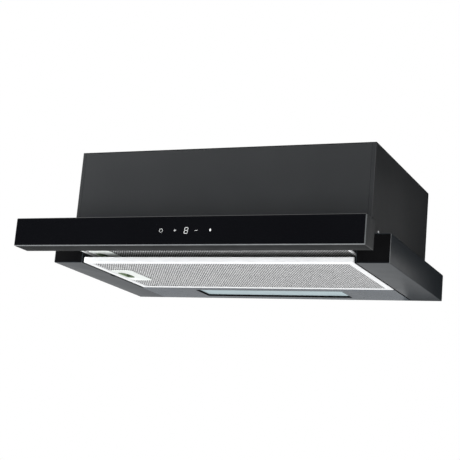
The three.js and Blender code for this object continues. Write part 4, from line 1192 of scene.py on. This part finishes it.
def pan_screw(name, place, facing, head, height):
    """A pan-head screw with a cross recess. Its seat is at the place and its head points along facing."""
    dome = [(head * wide, height * high) for wide, high in DOME]
    shank = [(SHANK, 0), (SHANK, -5.0), (0.02, -5.6)]
    shape = turned(name, [(0.02, height), *dome, *shank], place, facing, 28, endless=False)
    hand = -1 if facing.startswith("-") else 1
    axis = "xyz".index(facing[-1])
    for long_way in [way for way in range(3) if way != axis]:
        sizes = [around(0, CROSS_WIDTH / 2)] * 3
        sizes[axis] = sorted((hand * (height - CROSS_DEPTH), hand * (height + 1.0)))
        sizes[long_way] = around(0, CROSS_LENGTH / 2)
        shape = cut_out(shape, [block(*[(at + a, at + b) for at, (a, b) in zip(place, sizes)])])
    return shape


for side, facing in (("left", "-x"), ("right", "x")):
    screw_x, screw_y, screw_z = span(side + "_side_screw")
    seat = screw_x[0] + SIDE_HEAD_HEIGHT if side == "left" else screw_x[1] - SIDE_HEAD_HEIGHT
    for name, y, stands_for in ((side + "_screw", middle(screw_y), [side + "_side_screw"]),
                                (side + "_rear_screw", lid_y[1] - REAR_LUG, [])):
        screw = pan_screw(name, (seat, y, middle(screw_z)), facing, SIDE_HEAD, SIDE_HEAD_HEIGHT)
        fit(screw, "zinc_plate", "housing", stands_for)
print("screws on the box: 4")

# %% [markdown]
# ## Outlet collar
# The duct is pushed over a moulded collar on the box, and two flaps inside it fall shut when the fan stops.
# The collar is turned from one outline: a flange, two low beads that hold the duct, a rounded lip and a
# ledge for the flaps.
# Four small screws hold its flange, as on the real one.

# %% Collar
TUBE = 74.5
FLANGE_THICKNESS = 1.5
SCREW_CIRCLE = 84.5
seat = lid_z[1] + 0.3
flange = (collar_x[1] - collar_x[0]) / 2
flange_top = seat + FLANGE_THICKNESS
collar_foot = [(AIR_BORE, seat), (flange - 0.4, seat), (flange, seat + 0.4), (flange, seat + 1.1),
               (flange - 0.4, flange_top), (TUBE + 1.6, flange_top), (TUBE + 0.45, seat + 1.95),
               (TUBE, seat + 3.1)]
duct_beads = [(TUBE + bulge, seat + start + up) for start in (11.0, 19.0)
              for bulge, up in ((0, 0), (0.45, 0.8), (0, 1.6))]
collar_lip = [(TUBE, collar_top - 1.0), (TUBE - 0.4, collar_top - 0.25), (TUBE - 1.1, collar_top),
              (AIR_BORE + 0.7, collar_top), (AIR_BORE, collar_top - 0.6)]
flap_ledge = [(AIR_BORE, seat + 5.5), (AIR_BORE - 2.6, seat + 5.5), (AIR_BORE - 3.0, seat + 5.1),
              (AIR_BORE - 3.0, seat + 4.0)]
collar_outline = collar_foot + duct_beads + collar_lip + flap_ledge
collar = turned("duct_collar", collar_outline, (*collar_at, 0), "z", 96)
fit(collar, "black_plastic", "housing", ["outlet_collar"])
for number, place in enumerate(circle(*collar_at, SCREW_CIRCLE, 4, 0.5), 1):
    fit(pan_screw(f"collar_screw_{number}", (*place, flange_top), "z", 2.9, 1.7), "zinc_plate")
print("collar", round(2 * TUBE), "mm across,", round(collar_top - seat), "mm high")

# %% [markdown]
# ## Back-draught flaps
# The flaps are thin half discs, and thin plastic discs have ribs so that they stay flat.
# The CAD solids already have the right outline and hinge knuckles, so they stay.
# A curved rib and three straight ones are added on each, and move with it.

# %% Ribs on the flaps
RIB_RADII = (55.5, 56.7)
RIB_REACH = (9.0, 55.6)
RIB_HALF = 0.6


def flap_ribs(name, hand, level):
    """A low curved rib and three straight ones on the upper face of a flap."""
    low, high = level - 0.2, level + 0.9
    at = lambda x, y: (collar_at[0] + hand * x, collar_at[1] + y)
    inner, outer = RIB_RADII
    section = ((inner, low), (outer, low), (outer, high), (inner, high))
    rings = []
    for turn in range(-62, 63, 4):
        c, s = math.cos(math.radians(turn)), math.sin(math.radians(turn))
        rings.append([(*at(r * c, r * s), z) for r, z in section])
    bodies = [skin(rings)]
    for turn in (-36, 0, 36):
        c, s = math.cos(math.radians(turn)), math.sin(math.radians(turn))
        corners = [at(c * r - s * w, s * r + c * w) for r in RIB_REACH for w in around(0, RIB_HALF)]
        bodies.append(standing(corners, (low, high)))
    return gathered(name, bodies)


hinge_level = middle(span("flap_axle")[2])
for side, hand in SIDES:
    fit(flap_ribs(side + "_flap_ribs", hand, hinge_level + 0.6), "black_plastic", side + "_flap")
print("flap ribs on 2 flaps")

# %% [markdown]
# ## Cable gland
# The mains lead leaves the box through a gland at the back corner. The photograph doesn't show the lead.
# The nut is fluted so that fingers can turn it, which is a ring whose radius goes in and out.
# The flutes fade towards the domed top, where the rubber seal shows.

# %% Gland
FLUTES = 16
FLUTE_POINTS = 6 * FLUTES


def fluted(radius, z, depth):
    """A ring with flutes of a given depth."""
    ring = []
    for angle in angles(FLUTE_POINTS):
        reach = radius - depth * (0.5 - 0.5 * math.cos(FLUTES * angle))
        ring.append((gland_at[0] + reach * math.cos(angle), gland_at[1] + reach * math.sin(angle), z))
    return ring


lid_top = lid_z[1]
stem = [(4.1, gland_low + 0.2, 0), (7.6, gland_low + 0.2, 0), (8.0, gland_low + 0.6, 0),
        (8.0, lid_top + 0.3, 0)]
washer = [(11.4, lid_top + 0.3, 0), (12.0, lid_top + 0.8, 0), (12.0, lid_top + 1.8, 0),
          (11.4, lid_top + 2.3, 0)]
dome = [(10.6, lid_top + 2.4, 0), (10.6, lid_top + 2.8, 0.7), (10.2, gland_top - 3.5, 0.7),
        (8.6, gland_top - 1.2, 0.3), (6.6, gland_top - 0.2, 0), (5.2, gland_top, 0),
        (4.4, gland_top - 0.4, 0)]
nut = ringed("gland_nut", [fluted(*step) for step in stem + washer + dome], endless=True)
fit(nut, "black_plastic", "housing", ["cable_gland"])
print("gland", round(gland_top - lid_top, 1), "mm high")

# %% [markdown]
# ## Back of the base
# The back goes against the wall, so it is one plain panel, but thin sheet this wide is never left flat.
# Three long pressed beads stiffen it and four round holes take the fixing screws.
# The panel is a punched plate, and each bead is a low oblong that rises from it in four rings.

# %% Back panel
FIXING_PLACES = (-270, -90, 90, 270)
FIXING_LEVEL, FIXING_RADIUS = 23.0, 2.6
BEAD_GAP, BEAD_HALF = 15, 5
PANEL_THICKNESS = 0.8
back_x, (back_y, _), back_z = span("base_back_panel")
fixings = [circle(x, FIXING_LEVEL, FIXING_RADIUS, 24) for x in FIXING_PLACES]
panel = plate("back_panel", [rounded(back_x, back_z, 1.2), *fixings], PANEL_THICKNESS,
              facing_front(back_y + PANEL_THICKNESS / 2), 0.15)
fit(panel, "black_coat", "housing", ["base_back_panel"])
bead_z = around(FIXING_LEVEL, BEAD_HALF)
for number, (before, after) in enumerate(zip(FIXING_PLACES, FIXING_PLACES[1:]), 1):
    bead_x = drawn_in((before, after), BEAD_GAP)
    rings = []
    for inset, rise in ((0, 0.6), (0, 0.8), (0.9, 0.93), (2.4, 0.98)):
        rings.append([(x, back_y + rise, z) for x, z in rounded(bead_x, bead_z, BEAD_HALF - inset, inset)])
    fit(ringed(f"back_bead_{number}", rings), "black_coat")
print("back panel", round(back_x[1] - back_x[0]), "by", round(back_z[1] - back_z[0]), "mm")

# %% [markdown]
# ## The rest of the model
# The runners, the fan, the motor and the electrical boxes are right as they came.
# Rebuilding them would change nothing that one sees, so they keep their CAD solids.
# Each gets the finish that belongs to it, by the part's own slot names.

# %% Finishes for the carried-over nodes
finish_of_slot = {"black_steel": "black_coat", "rail_steel": "rail_coat_blue_reflection", "black_glass": "black_glass",
                  "zinc_steel": "zinc_plate", "aluminium": "sheet_aluminium", "opal_plastic": "opal_cover",
                  "white_plastic": "milky_plastic", "green_plastic": "green_plastic",
                  "black_plastic": "black_plastic", "grey_plastic": "grey_plastic",
                  "circuit_board": "board_lacquer"}
finish_of_node = {"fixed_filter_core": "crimped_core_painted_shade", "drawer_filter_core": "crimped_core_painted_shade"}
slot_of_node = {part["node"]: part["material_slot"] for part in frame["record"]["subparts"]}
carried = 0
for node, solid in frame["nodes"].items():
    if solid.hide_render:
        continue
    finish = finish_of_node.get(node, finish_of_slot[slot_of_node[node]])
    for spot in solid.material_slots:
        spot.material = finishes[finish][0]
    carried += 1
print("carried over with a finish:", carried, "nodes")

# %% [markdown]
# ## Measuring
# A dressed model must not outgrow the CAD model, because other people place it by the CAD's box.
# The two boxes are printed here.

# %% Boxes
dressed_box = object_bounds()
sizes = {"cad": [list(corner) for corner in hood_box], "visual": [list(corner) for corner in dressed_box]}
for word, corners in sizes.items():
    print(word, [[round(c / MM, 2) for c in corner] for corner in corners])
